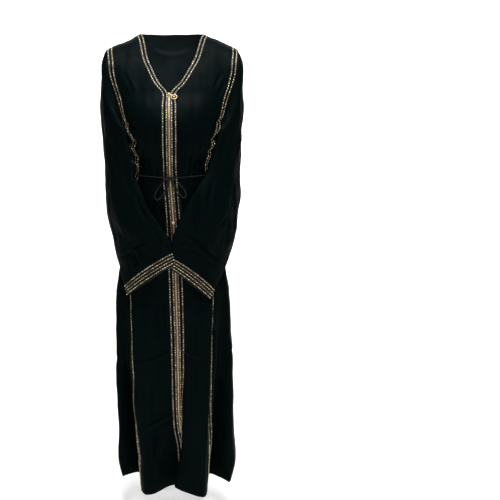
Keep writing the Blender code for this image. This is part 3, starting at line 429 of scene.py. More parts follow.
SLEEVE_CREASES = {
    "left": {
        "front": (
            (0.0065, 0.0079, (0.074, -0.470), (0.073, -0.520), (0.074, -0.575), (0.081, -0.622)),
            (0.0060, 0.0070, (0.148, -0.694), (0.108, -0.662), (0.080, -0.634), (0.050, -0.614),
             (0.016, -0.600)),
            (0.0044, 0.0048, (0.092, -0.640), (0.040, -0.642), (0.000, -0.646)),
            (0.0036, 0.0044, (0.100, -0.672), (0.060, -0.664), (0.024, -0.662)),
            (0.0036, 0.0044, (0.160, -0.562), (0.150, -0.576), (0.139, -0.592)),
            (0.0024, 0.0160, (0.196, -0.280), (0.186, -0.360), (0.164, -0.440), (0.134, -0.520)),
            (0.0018, 0.0140, (0.206, -0.400), (0.196, -0.470), (0.172, -0.550)),
            (0.0029, 0.0088, (0.168, -0.300), (0.156, -0.350), (0.146, -0.400)),
            (0.0047, 0.0062, (0.120, -0.440), (0.112, -0.490), (0.104, -0.560)),
        ),
        "left": (
            (0.0017, 0.0140, (-0.020, -0.130), (-0.030, -0.230), (-0.040, -0.340),
             (-0.062, -0.460)),
            (0.0014, 0.0130, (0.016, -0.170), (0.010, -0.270), (-0.006, -0.380), (-0.030, -0.500)),
            (0.0016, 0.0130, (-0.068, -0.180), (-0.078, -0.280), (-0.092, -0.380)),
            (0.0024, 0.0070, (-0.100, -0.470), (-0.080, -0.540), (-0.066, -0.620)),
            (0.0022, 0.0060, (-0.120, -0.540), (-0.104, -0.600), (-0.090, -0.680)),
        ),
    },
    "right": {
        "front": (
            (0.0065, 0.0088, (-0.128, -0.664), (-0.112, -0.690), (-0.096, -0.716)),
            (0.0047, 0.0053, (-0.066, -0.626), (-0.098, -0.642), (-0.132, -0.662)),
            (0.0024, 0.0160, (-0.196, -0.290), (-0.188, -0.380), (-0.166, -0.470),
             (-0.136, -0.560)),
            (0.0024, 0.0130, (-0.160, -0.340), (-0.146, -0.420), (-0.120, -0.500),
             (-0.082, -0.575)),
            (0.0020, 0.0110, (-0.196, -0.500), (-0.176, -0.580), (-0.150, -0.640)),
            (0.0042, 0.0053, (-0.052, -0.590), (-0.044, -0.620), (-0.030, -0.650)),
            (0.0044, 0.0062, (-0.110, -0.480), (-0.096, -0.530), (-0.070, -0.580)),
            (0.0039, 0.0053, (-0.160, -0.690), (-0.130, -0.668), (-0.100, -0.668)),
        ),
        "right": (
            (0.0017, 0.0140, (-0.020, -0.130), (-0.026, -0.240), (-0.044, -0.350),
             (-0.060, -0.470)),
            (0.0014, 0.0130, (0.014, -0.160), (0.012, -0.280), (-0.008, -0.390), (-0.026, -0.510)),
            (0.0016, 0.0130, (-0.070, -0.190), (-0.080, -0.290), (-0.096, -0.390)),
            (0.0024, 0.0070, (-0.104, -0.480), (-0.086, -0.550), (-0.070, -0.640)),
        ),
    },
}


def column(table, name):
    return np.array([getattr(row, name) for row in table], float)


def ease(t):
    t = np.clip(t, 0.0, 1.0)
    return t * t * (3.0 - 2.0 * t)


def bridged(t, start, reach_out, leaving, end, reach_in, arriving):
    """The smooth curve from start to end that leaves and arrives in these directions, read at t."""
    near = (2 * t**3 - 3 * t**2 + 1) * start + (t**3 - 2 * t**2 + t) * reach_out * leaving
    far = (3 * t**2 - 2 * t**3) * end + (t**3 - t**2) * reach_in * arriving
    return near + far


def through(knots, values, x):
    """Smooth curve through the values at rising knots, read at x. Values may be vectors."""
    knots = np.asarray(knots, float)
    values = np.asarray(values, float)
    x = np.clip(np.asarray(x, float), knots[0], knots[-1])
    flat = values.reshape(len(knots), -1)
    slope = np.gradient(flat, knots, axis=0)
    i = np.clip(np.searchsorted(knots, x, side="right") - 1, 0, len(knots) - 2)
    step = (knots[i + 1] - knots[i])[..., None]
    t = (x - knots[i])[..., None] / step
    curve = bridged(t, flat[i], step, slope[i], flat[i + 1], step, slope[i + 1])
    return curve.reshape(x.shape + values.shape[1:])


def down(table, name, z):
    """A column of a table whose rows run from top to bottom, read at height z."""
    return through(-column(table, "z"), column(table, name), -np.asarray(z, float))


def unit(vectors):
    return vectors / np.maximum(np.linalg.norm(vectors, axis=-1, keepdims=True), 1e-12)


def distances(line):
    """How far along a line each of its points is."""
    return np.concatenate([[0.0], np.cumsum(np.linalg.norm(np.diff(line, axis=0), axis=1))])


def between(places, knots, points):
    """Points on the straight lines between those that are given at rising knots."""
    return np.stack([np.interp(places, knots, points[:, k]) for k in range(3)], axis=-1)


def zip_x(z):
    return down(ZIP_LINE, "x", z)


def plain_section(angle, z):
    """The body's section without folds, as x and y at this angle from the centre front."""
    half = down(SECTIONS, "half_width", z)
    front = down(SECTIONS, "front", z)
    back = down(SECTIONS, "back", z)
    power = 2.0 / ROUNDNESS
    sine = np.sin(np.radians(angle))
    cosine = np.cos(np.radians(angle))
    x = half * np.sign(sine) * np.abs(sine) ** power
    y = (front + back) / 2 - (back - front) / 2 * np.sign(cosine) * np.abs(cosine) ** power
    return np.stack([x, y], axis=-1)


def fold_shift(angle, z):
    """How far the skirt's folds move the section at this height, in x, y and z."""
    hem = plain_section(column(FOLDS, "angle"), np.full(len(FOLDS), HEM_Z))
    place = np.stack([column(FOLDS, "x"), column(FOLDS, "y")], axis=-1)
    moved = np.concatenate([place - hem, column(FOLDS, "lift")[:, None]], axis=1)
    rise = column(FOLDS, "rise")
    grown = ease((rise - z) / (rise - HEM_Z) * FOLD_START_SHARE) / ease(FOLD_START_SHARE)
    shift = moved * grown[:, None]
    knots = column(FOLDS, "angle")
    wrapped = np.concatenate([knots[-3:] - 360, knots, knots[:3] + 360])
    values = np.concatenate([shift[-3:], shift, shift[:3]])
    return through(wrapped, values, (np.asarray(angle, float) + 180) % 360 - 180)


def body_point(angle, z):
    """Points on the inside of the body's cloth at one height, for an array of angles."""
    angle = np.asarray(angle, float)
    shift = fold_shift(angle, z)
    flat = plain_section(angle, np.full(angle.shape, z)) + shift[..., :2]
    nearness = np.maximum(np.cos(np.radians(angle)), 0.0) ** ZIP_PULL_POWER
    folded = ease((FOLDED_FROM_Z - z) / FOLDED_OVER)
    flat[..., 0] += zip_x(z) * nearness * (1.0 - folded)
    tilt = WAIST_TILT * np.exp(-(((z - WAIST_Z) / WAIST_TILT_REACH) ** 2))
    height = z + tilt * flat[..., 1] / WAIST_TILT_ARM + shift[..., 2]
    return np.concatenate([flat, height[..., None]], axis=-1)


def spaced(points, near, count, far):
    """Points along a polyline: at the distances near and far from its ends, and count between."""
    lengths = distances(points)
    middle = np.linspace(near[-1], lengths[-1] - far[0], count + 2)[1:-1]
    places = np.concatenate([near, middle, lengths[-1] - np.asarray(far)])
    return between(places, lengths, points)


def princess_angle(z):
    return float(down(PRINCESS, "angle", z))


def placket_half_gap(z):
    closing = float(ease((ZIP_END_Z - z) / (ZIP_END_Z - CLOSED_FRONT_Z)))
    return PLACKET_HALF_GAP + (CLOSED_HALF_GAP - PLACKET_HALF_GAP) * closing


def front_row(side, z):
    points = body_point(np.linspace(0.0, princess_angle(z), DENSE) * side, z)
    start = np.searchsorted(distances(points), placket_half_gap(z)) - 1
    return spaced(points[start:], EDGE_COLUMNS, FRONT_BETWEEN, EDGE_COLUMNS[::-1])


def yoke_row(side, row):
    s = np.linspace(0.0, 1.0, DENSE)
    x = zip_x(row.inner_z) * (1 - s) + side * (row.inner_x + (row.outer_x - row.inner_x) * s)
    y = row.inner_y + (row.outer_y - row.inner_y) * s**row.sweep
    z = row.inner_z + (row.outer_z - row.inner_z) * s
    return spaced(np.stack([x, y, z], axis=-1), EDGE_COLUMNS, FRONT_BETWEEN, EDGE_COLUMNS[::-1])


def arc_row(start, end, z, segments):
    points = body_point(np.linspace(start, end, DENSE), z)
    return spaced(points, (0.0,), segments - 1, (0.0,))


def back_top_edge():
    """Back neck and both shoulder seams, from the wearer's left to the right."""
    s = np.linspace(-1.0, 1.0, BACK_SEGMENTS + 1)
    turn = np.minimum(np.abs(s) / BACK_NECK_SHARE, 1.0) * math.pi / 2
    along = np.maximum(np.abs(s) - BACK_NECK_SHARE, 0.0) / (1.0 - BACK_NECK_SHARE)
    x = NECK_HALF * np.sin(turn) + (SHOULDER_HALF - NECK_HALF) * along
    y = BACK_NECK_DEPTH * np.cos(turn) + SEAM_GAP
    z = BACK_NECK_RISE * np.cos(turn) - SHOULDER_DROP * along
    return np.stack([-np.sign(s) * x, y, z], axis=-1), np.abs(s)


def fine_places(first):
    upper = np.linspace(first, -UNDERARM_Z, UPPER_ROWS, endpoint=False)
    return upper, np.linspace(-UNDERARM_Z, -HEM_Z, LOWER_ROWS)


def front_knots():
    yoke = -(column(FRONT_YOKE, "inner_z") + column(FRONT_YOKE, "outer_z")) / 2
    return np.concatenate([yoke, -CUT_HEIGHTS])


def back_steps():
    steps = np.linspace(0.0, 1.0, BACK_YOKE_ROWS + 1)[:-1]
    steps[1] = BINDING_WIDTH / (BACK_NECK_RISE - UNDERARM_Z)
    return steps


def back_knots():
    return np.concatenate([-UNDERARM_Z * back_steps(), -CUT_HEIGHTS])


def plain_front(side):
    rows = [yoke_row(side, row) for row in FRONT_YOKE]
    rows += [front_row(side, z) for z in CUT_HEIGHTS]
    knots = front_knots()
    return through(knots, np.array(rows), np.concatenate(fine_places(knots[0])))


def plain_side(side):
    seam = side * SIDE_SEAM_ANGLE
    rows = [arc_row(side * princess_angle(z), seam, z, SIDE_SEGMENTS) for z in CUT_HEIGHTS]
    return through(-CUT_HEIGHTS, np.array(rows), fine_places(0.0)[1])


def plain_back():
    top, off_centre = back_top_edge()
    ends = (SIDE_SEAM_ANGLE, 360.0 - SIDE_SEAM_ANGLE)
    low = arc_row(*ends, UNDERARM_Z, BACK_SEGMENTS)
    rows = []
    for t in back_steps():
        row = top + (low - top) * t
        row[:, 1] = top[:, 1] + (low[:, 1] - top[:, 1]) * math.sin(t * math.pi / 2) ** BACK_TURN
        row[:, 1] += BACK_SHOULDER_FULLNESS * math.sin(t * math.pi) * off_centre**3
        rows.append(row)
    rows += [arc_row(*ends, z, BACK_SEGMENTS) for z in CUT_HEIGHTS]
    knots = back_knots()
    return through(knots, np.array(rows), np.concatenate(fine_places(knots[0])))


def grid_normals(grid, outward, closed=False):
    """Unit normals of a grid of points, turned to the side where outward says so."""
    along = np.gradient(grid, axis=0)
    if closed:
        across = np.roll(grid, -1, axis=1) - np.roll(grid, 1, axis=1)
    else:
        across = np.gradient(grid, axis=1)
    normals = unit(np.cross(along, across))
    middle = normals.reshape(-1, 3)[normals.size // 6]
    return normals if np.dot(middle, outward) > 0 else -normals


def smooth_path(points, count):
    points = np.array(points, float)
    lengths = distances(points)
    return through(lengths, points, np.linspace(0.0, lengths[-1], count))


VIEWS = {
    "front": (0, np.array([0.0, -1.0, 0.0])),
    "back": (0, np.array([0.0, 1.0, 0.0])),
    "left": (1, np.array([1.0, 0.0, 0.0])),
    "right": (1, np.array([-1.0, 0.0, 0.0])),
}


def along_and_off(u, v, route):
    """For each point, the route's share passed at its nearest place, and its signed distance."""
    passed = distances(route)
    steps = np.linalg.norm(np.diff(route, axis=0), axis=1)
    nearest = np.full(u.shape, np.inf)
    off, along = np.zeros(u.shape), np.zeros(u.shape)
    for k in range(len(route) - 1):
        start, line = route[k], route[k + 1] - route[k]
        t = ((u - start[0]) * line[0] + (v - start[1]) * line[1]) / steps[k] ** 2
        t = np.clip(t, 0.0, 1.0)
        away_u = u - start[0] - t * line[0]
        away_v = v - start[1] - t * line[1]
        distance = np.hypot(away_u, away_v)
        closer = distance < nearest
        nearest = np.where(closer, distance, nearest)
        left = np.sign(line[0] * away_v - line[1] * away_u)
        off = np.where(closer, distance * left, off)
        along = np.where(closer, (passed[k] + t * steps[k]) / passed[-1], along)
    return along, off


def crease_shift(grid, normals, creases):
    """How far out the creases move each point along its normal."""
    shift = np.zeros(grid.shape[:-1])
    for view, rows in creases.items():
        axis, facing = VIEWS[view]
        faces_view = ease((normals @ facing - FACES_FROM) / FACES_OVER)
        for depth, width, *route in rows:
            route = smooth_path(route, CREASE_POINTS)
            along, off = along_and_off(grid[..., axis], grid[..., 2], route)
            tapered = ease(along / CREASE_STARTS_OVER) * ease((1.0 - along) / CREASE_ENDS_OVER)
            trough = -np.exp(-((off / width) ** 2))
            ridge = np.exp(-(((off - RIDGE_OFF * width) / (RIDGE_WIDTH * width)) ** 2))
            shift += depth * tapered * faces_view * (trough + RIDGE_SHARE * ridge)
    return shift


@functools.lru_cache(maxsize=None)
def waves():
    """Directions, phases and heights of the small waves that make the cloth uneven."""
    dice = np.random.default_rng(WAVE_SEED)
    lengths = [dice.uniform(band.shortest, band.longest, band.count) for band in WAVE_BANDS]
    lengths = np.concatenate(lengths)
    directions = unit(dice.normal(size=(len(lengths), 3)) * np.array([1.0, 1.0, 0.55]))
    phases = dice.uniform(0, 2 * math.pi, len(lengths))
    heights = np.repeat([band.height for band in WAVE_BANDS], [band.count for band in WAVE_BANDS])
    return directions * (2 * math.pi / lengths)[:, None], phases, heights


def uneven_shift(grid):
    turns, phases, heights = waves()
    shift = np.zeros(grid.shape[:-1])
    for turn, phase, height in zip(turns, phases, heights):
        shift += height * np.sin(grid @ turn + phase)
    return shift


def gather_shift(grid, normals):
    """Gathers under the waist cord, drawn in on both sides of it."""
    around = np.arctan2(grid[..., 0], -grid[..., 1]) * WAIST_RADIUS
    wander = 0.9 * np.sin(around * 31.0) + 0.6 * np.sin(around * 77.0 + 1.3)
    wave = 0.5 - 0.5 * np.cos(2 * math.pi * around / GATHER_PITCH + wander)
    height = grid[..., 2] - WAIST_Z + WAIST_TILT * GATHER_TILT * np.sign(normals[..., 1])
    reach = ease(1.0 - np.where(height < 0, -height / GATHER_BELOW, height / GATHER_ABOVE))
    return -GATHER_DEPTH * wave * reach


def body_shift(grid, normals):
    laid = crease_shift(grid, normals, BODY_CREASES)
    return laid + uneven_shift(grid) + gather_shift(grid, normals)


def tucked(grid, normals, edges):
    """Turns a panel's long edges in a little, as a pressed seam does."""
    grid = grid.copy()
    for edge, near in edges:
        grid[:, edge] += unit(grid[:, near] - grid[:, edge]) * SEAM_GAP / 2
        grid[:, edge] -= normals[:, edge] * SEAM_TUCK
        grid[:, near] -= normals[:, near] * SEAM_TUCK * SEAM_TUCK_BESIDE
    return grid


Panel = namedtuple("Panel", "grid normals")


def share_edge(first, first_edge, second, second_edge, rows, second_rows):
    """The second panel takes the first one's seam line, and both take the same normals there."""
    second.grid[second_rows, second_edge] = first.grid[rows, first_edge]
    shared = unit(first.normals[rows, first_edge] + second.normals[second_rows, second_edge])
    first.normals[rows, first_edge] = shared
    second.normals[second_rows, second_edge] = shared


@functools.lru_cache(maxsize=None)
def body_panels():
    """The five panels with every fold, crease and gather, as the inside of the cloth."""
    below = slice(UPPER_ROWS, None)
    everything = slice(None)
    made = {}
    back = plain_back()
    made["back"] = Panel(back, grid_normals(back, (0.0, 1.0, 0.0)))
    for name, side in (("right", -1), ("left", 1)):
        grid = plain_front(side)
        made["front_" + name] = Panel(grid, grid_normals(grid, (0.0, -1.0, 0.0)))
        grid = plain_side(side)
        made["side_" + name] = Panel(grid, grid_normals(grid, (side, -0.3, 0.0)))
        share_edge(made["front_" + name], -1, made["side_" + name], 0, below, everything)
        share_edge(made["side_" + name], -1, made["back"], 0 if side > 0 else -1, everything, below)
    sewn = np.where(made["front_left"].grid[:, 0, 2] < ZIP_END_Z)[0]
    left, right = made["front_left"], made["front_right"]
    shared = unit(left.normals[sewn, 0] + right.normals[sewn, 0])
    left.normals[sewn, 0] = shared
    right.normals[sewn, 0] = shared
    return {
        name: Panel(grid + normals * body_shift(grid, normals)[..., None], normals)
        for name, (grid, normals) in made.items()
    }


def armhole(side):
    """The armhole's line, leads, faces and turns: up the front, down the back and under the arm."""
    panels = body_panels()
    name = "left" if side > 0 else "right"
    flank = panels["side_" + name]
    sideways, up = np.array([side * 1.0, 0.0, 0.0]), np.array([0.0, 0.0, 1.0])
    back_edge = (0, 1) if side > 0 else (-1, -2)
    line, leads, faces, turns = [], [], [], []
    for panel, knots, rows, (edge, near), way in (
        (panels["front_" + name], front_knots(), np.arange(UPPER_ROWS, -1, -1), (-1, -3), -1),
        (panels["back"], back_knots(), np.arange(1, UPPER_ROWS + 1), back_edge, 1),
    ):
        places = np.concatenate(fine_places(knots[0]))[rows]
        cut_row = np.interp(places, knots, np.arange(len(knots)))
        away = unit(panel.grid[rows, edge] - panel.grid[rows, near])
        out = panel.normals[rows, edge]
        line.append(panel.grid[rows, edge] + out * WALL + away * ARMHOLE_GAP)
        leads.append(unit(away + sideways * 0.5))
        faces.append(out)
        turns.append(math.pi * (YOKE + way * cut_row) / (YOKE + BACK_YOKE_ROWS))
    under = np.arange(SIDE_SEGMENTS - 1, 0, -1)
    line.append(flank.grid[0, under] + flank.normals[0, under] * WALL / 2 + up * ARMHOLE_GAP)
    leads.append(np.broadcast_to(unit(sideways + up * 0.3), (len(under), 3)))
    faces.append(flank.normals[0, under])
    turns.append(math.pi + math.pi * (1.0 - under / SIDE_SEGMENTS))
    measured = np.concatenate([*turns, [2 * math.pi]])
    wanted = np.concatenate([
        np.linspace(0.0, math.pi, SLEEVE_OUTER),
        np.linspace(math.pi, 2 * math.pi, SLEEVE_UNDER + 2)[1:-1],
    ])
    line, leads, faces = (
        between(wanted, measured, np.concatenate([*values, values[0][:1]]))
        for values in (line, leads, faces)
    )
    return line, unit(leads), unit(faces), wanted


def sleeve_ring(section, turns):
    """Points round one flat section: turn 0 is the front edge, and pi the back edge."""
    front = np.array(section["front"])
    across = np.array(section["back"]) - front
    outward = unit(np.cross(across, section["axis"]))
    if outward[1] > 0 or (abs(outward[1]) < 0.3 and outward[0] * front[0] < 0):
        outward = -outward
    s = (1 - np.cos(turns)) / 2
    layer = np.sign(np.sin(turns)) * np.abs(np.sin(turns)) ** EDGE_FULLNESS
    off = section["bulge"] * 4 * s * (1 - s) + section["thick"] / 2 * layer
    return front + across * s[:, None] + outward * off[:, None]


CUFF_TRIM_ZONE = CUFF_EDGE + (CUFF_TRIMS - 1) * CUFF_TRIM_STEP + TRIM_WIDTH


@functools.lru_cache(maxsize=None)
def sleeve_panel(name):
    """One sleeve, its first row at the cuff, and how far above the edge the rows from there are."""
    side = 1 if name == "left" else -1
    table = SLEEVES[name]
    loop, lead, faces, turns = armhole(side)
    knots = np.arange(len(table), dtype=float)
    fronts = np.array([row.front for row in table])
    backs = np.array([row.back for row in table])
    directions = unit(np.gradient((fronts + backs) / 2, axis=0))
    directions[0] = (0.0, 0.0, -1.0)

    def ring(at):
        at = np.array([at])
        section = {
            "front": through(knots, fronts, at)[0],
            "back": through(knots, backs, at)[0],
            "axis": through(knots, directions, at)[0],
            "bulge": through(knots, column(table, "bulge"), at)[0],
            "thick": through(knots, column(table, "thick"), at)[0],
        }
        return sleeve_ring(section, turns)

    first = ring(0.0)
    reach = np.linalg.norm(first - loop, axis=1, keepdims=True)
    outset = np.minimum(reach, HEAD_OUTSET)
    fall = unit(ring(0.1) - first)
    head = np.linspace(0.0, 1.0, SLEEVE_HEAD_ROWS, endpoint=False)
    rows = [bridged(t, loop, outset, lead, first, reach, fall) for t in head]
    rows += [ring(at) for at in np.linspace(0.0, len(table) - 2.0, SLEEVE_ROWS)]
    edge = ring(len(table) - 1.0)
    back_up = unit(ring(len(table) - 1.5) - edge)
    zone_top = edge + back_up * CUFF_TRIM_ZONE
    wrist = rows[-1]
    rows += [wrist + (zone_top - wrist) * t for t in np.linspace(0.0, 1.0, CUFF_ROWS)[1:-1]]
    insets = [CUFF_TRIM_ZONE]
    bare = CUFF_TRIM_STEP - TRIM_WIDTH
    for k in range(CUFF_TRIMS - 1, -1, -1):
        low = CUFF_EDGE + k * CUFF_TRIM_STEP
        insets += [low + TRIM_WIDTH / 2, low]
        if k:
            insets += [low - bare / 2, low - bare]
    insets.append(0.0)
    rows += [edge + back_up * inset for inset in insets]
    grid = np.array(rows)
    normals = grid_normals(grid, (side, -0.6, 0.0), closed=True)
    if ((grid - grid.mean(axis=1, keepdims=True)) * normals).sum() < 0:
        normals = -normals
    plain_rows = len(rows) - len(insets)
    rows_to_edge = plain_rows - np.arange(len(rows))
    passed = np.concatenate([head, np.ones(len(rows) - len(head))])
    calm = ease(passed / SLEEVE_CALM_HEAD)
    tail = ease(np.clip(rows_to_edge / CUFF_CALM_ROWS, 0.0, 1.0))
    pleats = 0.5 - 0.5 * np.cos(2 * math.pi * (turns - math.pi / 2) / PLEAT_PITCH)
    crown = math.pi * YOKE / (YOKE + BACK_YOKE_ROWS)
    pleats *= ease((PLEAT_REACH - np.abs(turns - crown)) / PLEAT_SIDES_OVER)
    fade = ease(passed / PLEATS_START_OVER) * ease((PLEATS_END_AT - passed) / PLEATS_END_OVER)
    shift = crease_shift(grid, normals, SLEEVE_CREASES[name])
    shift += SLEEVE_UNEVENNESS * uneven_shift(grid)
    shift = shift * (calm * (CUFF_CREASED + (1.0 - CUFF_CREASED) * tail))[:, None]
    shift -= PLEAT_DEPTH * fade[:, None] * pleats
    grid = grid + normals * shift[..., None]
    normals[0] = faces
    return Panel(grid, normals), plain_rows, insets


def mitred(grid, normals):
    """Normals of closed rings, made longer at a fold so that the wall keeps its thickness there."""
    before = unit(grid - np.roll(grid, 1, axis=1))
    after = unit(np.roll(grid, -1, axis=1) - grid)
    half_turn = np.arccos(np.clip((before * after).sum(axis=-1), -1.0, 1.0)) / 2
    return normals * np.minimum(1.0 / np.maximum(np.cos(half_turn), 0.1), MOST_MITRE)[..., None]


def mesh_from(name, points, faces):
    mesh = bpy.data.meshes.new(name)
    mesh.from_pydata(np.asarray(points, float).reshape(-1, 3).tolist(), [], faces)
    mesh.update()
    return mesh


def in_order(work):
    """The points and faces of a work mesh, in an order that doesn't change from run to run."""
    verts = sorted(work.verts, key=lambda vert: tuple(vert.co))
    places = {vert: k for k, vert in enumerate(verts)}
    faces = []
    for face in work.faces:
        corners = [places[vert] for vert in face.verts]
        first = corners.index(min(corners))
        faces.append(corners[first:] + corners[:first])
    return [tuple(vert.co) for vert in verts], sorted(faces)


def face_out(mesh):
    work = bmesh.new()
    work.from_mesh(mesh)
    if work.calc_volume(signed=True) < 0:
        bmesh.ops.reverse_faces(work, faces=work.faces[:])
    work.to_mesh(mesh)
    work.free()


def shown(name, mesh, finishes, node, body="root", smooth=True):
    """The mesh as a piece that replaces a node and rides on a body, with its finishes in order."""
    for finish in finishes:
        mesh.materials.append(finish)
    if smooth:
        mesh.shade_smooth()
    piece = bpy.data.objects.new(name, mesh)
    bpy.context.scene.collection.objects.link(piece)
    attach(piece, body)
    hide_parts(node)
    return piece


def cloth_mesh(name, inner, outer, closed=False):
    """A thin wall between two grids, with its edges rounded over as a pressed edge is."""
    rows, columns = inner.shape[:2]
    layer = rows * columns
    strips = columns if closed else columns - 1
    r, c = np.meshgrid(np.arange(rows - 1), np.arange(strips), indexing="ij")
    a = r * columns + c
    b = r * columns + (c + 1) % columns
    d = a + columns
    f = b + columns
    faces = np.concatenate([
        np.stack([a, d, f, b], axis=-1).reshape(-1, 4),
        layer + np.stack([a, b, f, d], axis=-1).reshape(-1, 4),
    ]).tolist()
    points = [inner.reshape(-1, 3), outer.reshape(-1, 3)]
    spare = 2 * layer

    def rim(index, neighbour, loop, turned):
        """Joins the two layers along one edge by a middle line that stands out a little."""
        nonlocal spare
        index, neighbour = np.asarray(index), np.asarray(neighbour)
        flat_in, flat_out = points[0], points[1]
        middle = (flat_in[index] + flat_out[index]) / 2
        thick = np.linalg.norm(flat_out[index] - flat_in[index], axis=1, keepdims=True)
        middle = middle + unit(flat_in[index] - flat_in[neighbour]) * thick * RIM_STANDS_OUT
        points.append(middle)
        count = len(index)
        for k in range(count if loop else count - 1):
            m = (k + 1) % count
            quads = (
                (index[k], index[m], spare + m, spare + k),
                (spare + k, spare + m, layer + index[m], layer + index[k]),
            )
            for quad in quads:
                faces.append([int(v) for v in (quad[::-1] if turned else quad)])
        spare += count

    span = np.arange(columns)
    rim(span, columns + span, closed, False)
    rim((rows - 1) * columns + span, (rows - 2) * columns + span, closed, True)
    if not closed:
        span = np.arange(rows) * columns
        rim(span, span + 1, False, True)
        rim(span + columns - 1, span + columns - 2, False, False)
        top, bottom = 2 * layer, 2 * layer + columns
        near, far = bottom + columns, bottom + columns + rows
        low, last = (rows - 1) * columns, layer - 1
        for corner, first, second in (
            (0, top, near),
            (columns - 1, far, top + columns - 1),
            (low, near + rows - 1, bottom),
            (last, bottom + columns - 1, far + rows - 1),
        ):
            faces += [[corner, first, second], [layer + corner, second, first]]
    mesh = mesh_from(name, np.concatenate(points), faces)
    face_out(mesh)
    return mesh


def cloth_piece(name, panel, closed=False):
    """A panel's cloth, with the crepe's right side outside and its paler wrong side inside, whose
    paleness is partly painted light.
    """
    thick = bpy.context.scene.abaya_cloth.thickness
    normals = mitred(panel.grid, panel.normals) if closed else panel.normals
    outer = panel.grid if closed else panel.grid + normals * WALL
    mesh = cloth_mesh(name + "_cloth", outer - normals * thick, outer, closed)
    rows, columns = panel.grid.shape[:2]
    inside = (rows - 1) * (columns if closed else columns - 1)
    # The inner layer's faces take the wrong side's finish, whose pale colour is partly painted
    # light.
    side = np.zeros(len(mesh.polygons), int)
    side[:inside] = 1
    mesh.polygons.foreach_set("material_index", side)
    return shown(name + "_cloth", mesh, [crepe(), crepe_wrong_side_painted_light()], name)


def ribbon(points, normals, across, width, lift, thick):
    """Corner points of a flat strip along a line: four to each place."""
    low = points + normals * lift
    high = points + normals * (lift + thick)
    side = across * width / 2
    top_side = side * BRAID_TAPER
    return np.stack([low - side, low + side, high + top_side, high - top_side], axis=1)


def swept(sections, closed_line):
    """Faces of a strip or tube whose sections each hold the same number of points."""
    count, around = sections.shape[:2]
    faces = []
    for k in range(count if closed_line else count - 1):
        m = (k + 1) % count
        for j in range(around):
            i = (j + 1) % around
            faces.append((k * around + j, k * around + i, m * around + i, m * around + j))
    if not closed_line:
        faces.append(tuple(range(around))[::-1])
        faces.append(tuple((count - 1) * around + j for j in range(around)))
    return faces


def evenly(line, extra, step, closed_line=False):
    """Places at an even step along a line, and other values of the line read there."""
    if closed_line:
        line = np.concatenate([line, line[:1]])
        extra = [np.concatenate([value, value[:1]]) for value in extra]
    passed = distances(line)
    count = max(2, int(round(passed[-1] / step)))
    places = np.linspace(0.0, passed[-1], count + 1)
    if closed_line:
        places = places[:-1]
    else:
        places = (places[:-1] + places[1:]) / 2
    return between(places, passed, line), [between(places, passed, value) for value in extra]


def bead_shape():
    """Points and triangles of a small faceted bead, one unit in radius."""
    work = bmesh.new()
    bmesh.ops.create_icosphere(work, subdivisions=1, radius=1.0)
    work.verts.ensure_lookup_table()
    points = np.array([vertex.co[:] for vertex in work.verts])
    faces = np.array([[vertex.index for vertex in face.verts] for face in work.faces])
    work.free()
    return points, faces


def scattered(places, frames, size, seed):
    """Beads of one size at many places, each turned by its own amount."""
    points, faces = bead_shape()
    count = len(places)
    dice = np.random.default_rng(seed)
    spin = dice.uniform(0, 2 * math.pi, count)
    cosine, sine = np.cos(spin)[:, None], np.sin(spin)[:, None]
    x = points[:, 0] * cosine - points[:, 1] * sine
    y = points[:, 0] * sine + points[:, 1] * cosine
    local = np.stack([x, y, np.broadcast_to(points[:, 2], x.shape)], axis=-1) * np.array(size)
    world = np.einsum("nik,nkj->nij", local, frames) + places[:, None]
    indexes = faces[None] + (np.arange(count) * len(points))[:, None, None]
    return world.reshape(-1, 3), indexes.reshape(-1, faces.shape[1])


def parts_mesh(name, parts):
    """One mesh from several parts, each given with the number of its finish."""
    points, faces, finish, base = [], [], [], 0
    for number, (part_points, part_faces) in parts:
        part_points = np.asarray(part_points).reshape(-1, 3)
        points.append(part_points)
        faces += [[int(v) + base for v in face] for face in part_faces]
        finish += [number] * len(part_faces)
        base += len(part_points)
    mesh = mesh_from(name, np.concatenate(points), faces)
    mesh.polygons.foreach_set("material_index", finish)
    return mesh


def beaded_row(label, line, normals, across, lift, closed_line, seed):
    """A braid with stones and pairs of small beads sewn along it."""
    trim = bpy.context.scene.abaya_trim
    middle, (out, sideways) = evenly(line, [normals, across], BRAID_STEP, closed_line)
    if not closed_line:
        middle, out, sideways = (
            np.concatenate([whole[:1], some, whole[-1:]])
            for whole, some in ((line, middle), (normals, out), (across, sideways))
        )
    width = TRIM_WIDTH * BRAID_SHARE
    sections = ribbon(middle, unit(out), unit(sideways), width, lift, BRAID_THICK)
    parts = [(0, (sections, swept(sections, closed_line)))]
    places, (out, sideways) = evenly(line, [normals, across], trim.pitch, closed_line)
    out, sideways = unit(out), unit(sideways)
    forward = np.cross(out, sideways)
    frames = np.stack([sideways, forward, out], axis=1)
    jitter = np.random.default_rng(seed).normal(0.0, STONE_JITTER, (len(places), 1))
    stone = places + out * (lift + STONE_LIFT) + sideways * jitter
    parts.append((1, scattered(stone, frames, trim.stone, seed)))
    for step in (-BEAD_STEP, BEAD_STEP):
        for off in (-BEAD_OFF, BEAD_OFF):
            spot = places + forward * trim.pitch * step + sideways * off + out * (lift + BEAD_LIFT)
            parts.append((2, scattered(spot, frames, trim.bead, seed + int(off * 1e4) + 7)))
    name = "rows_" + label
    finishes = [braid(), stone_gold(), bead_gold()]
    mesh = parts_mesh(name, parts)
    return shown(name, mesh, finishes, "trim_" + label, smooth=False)


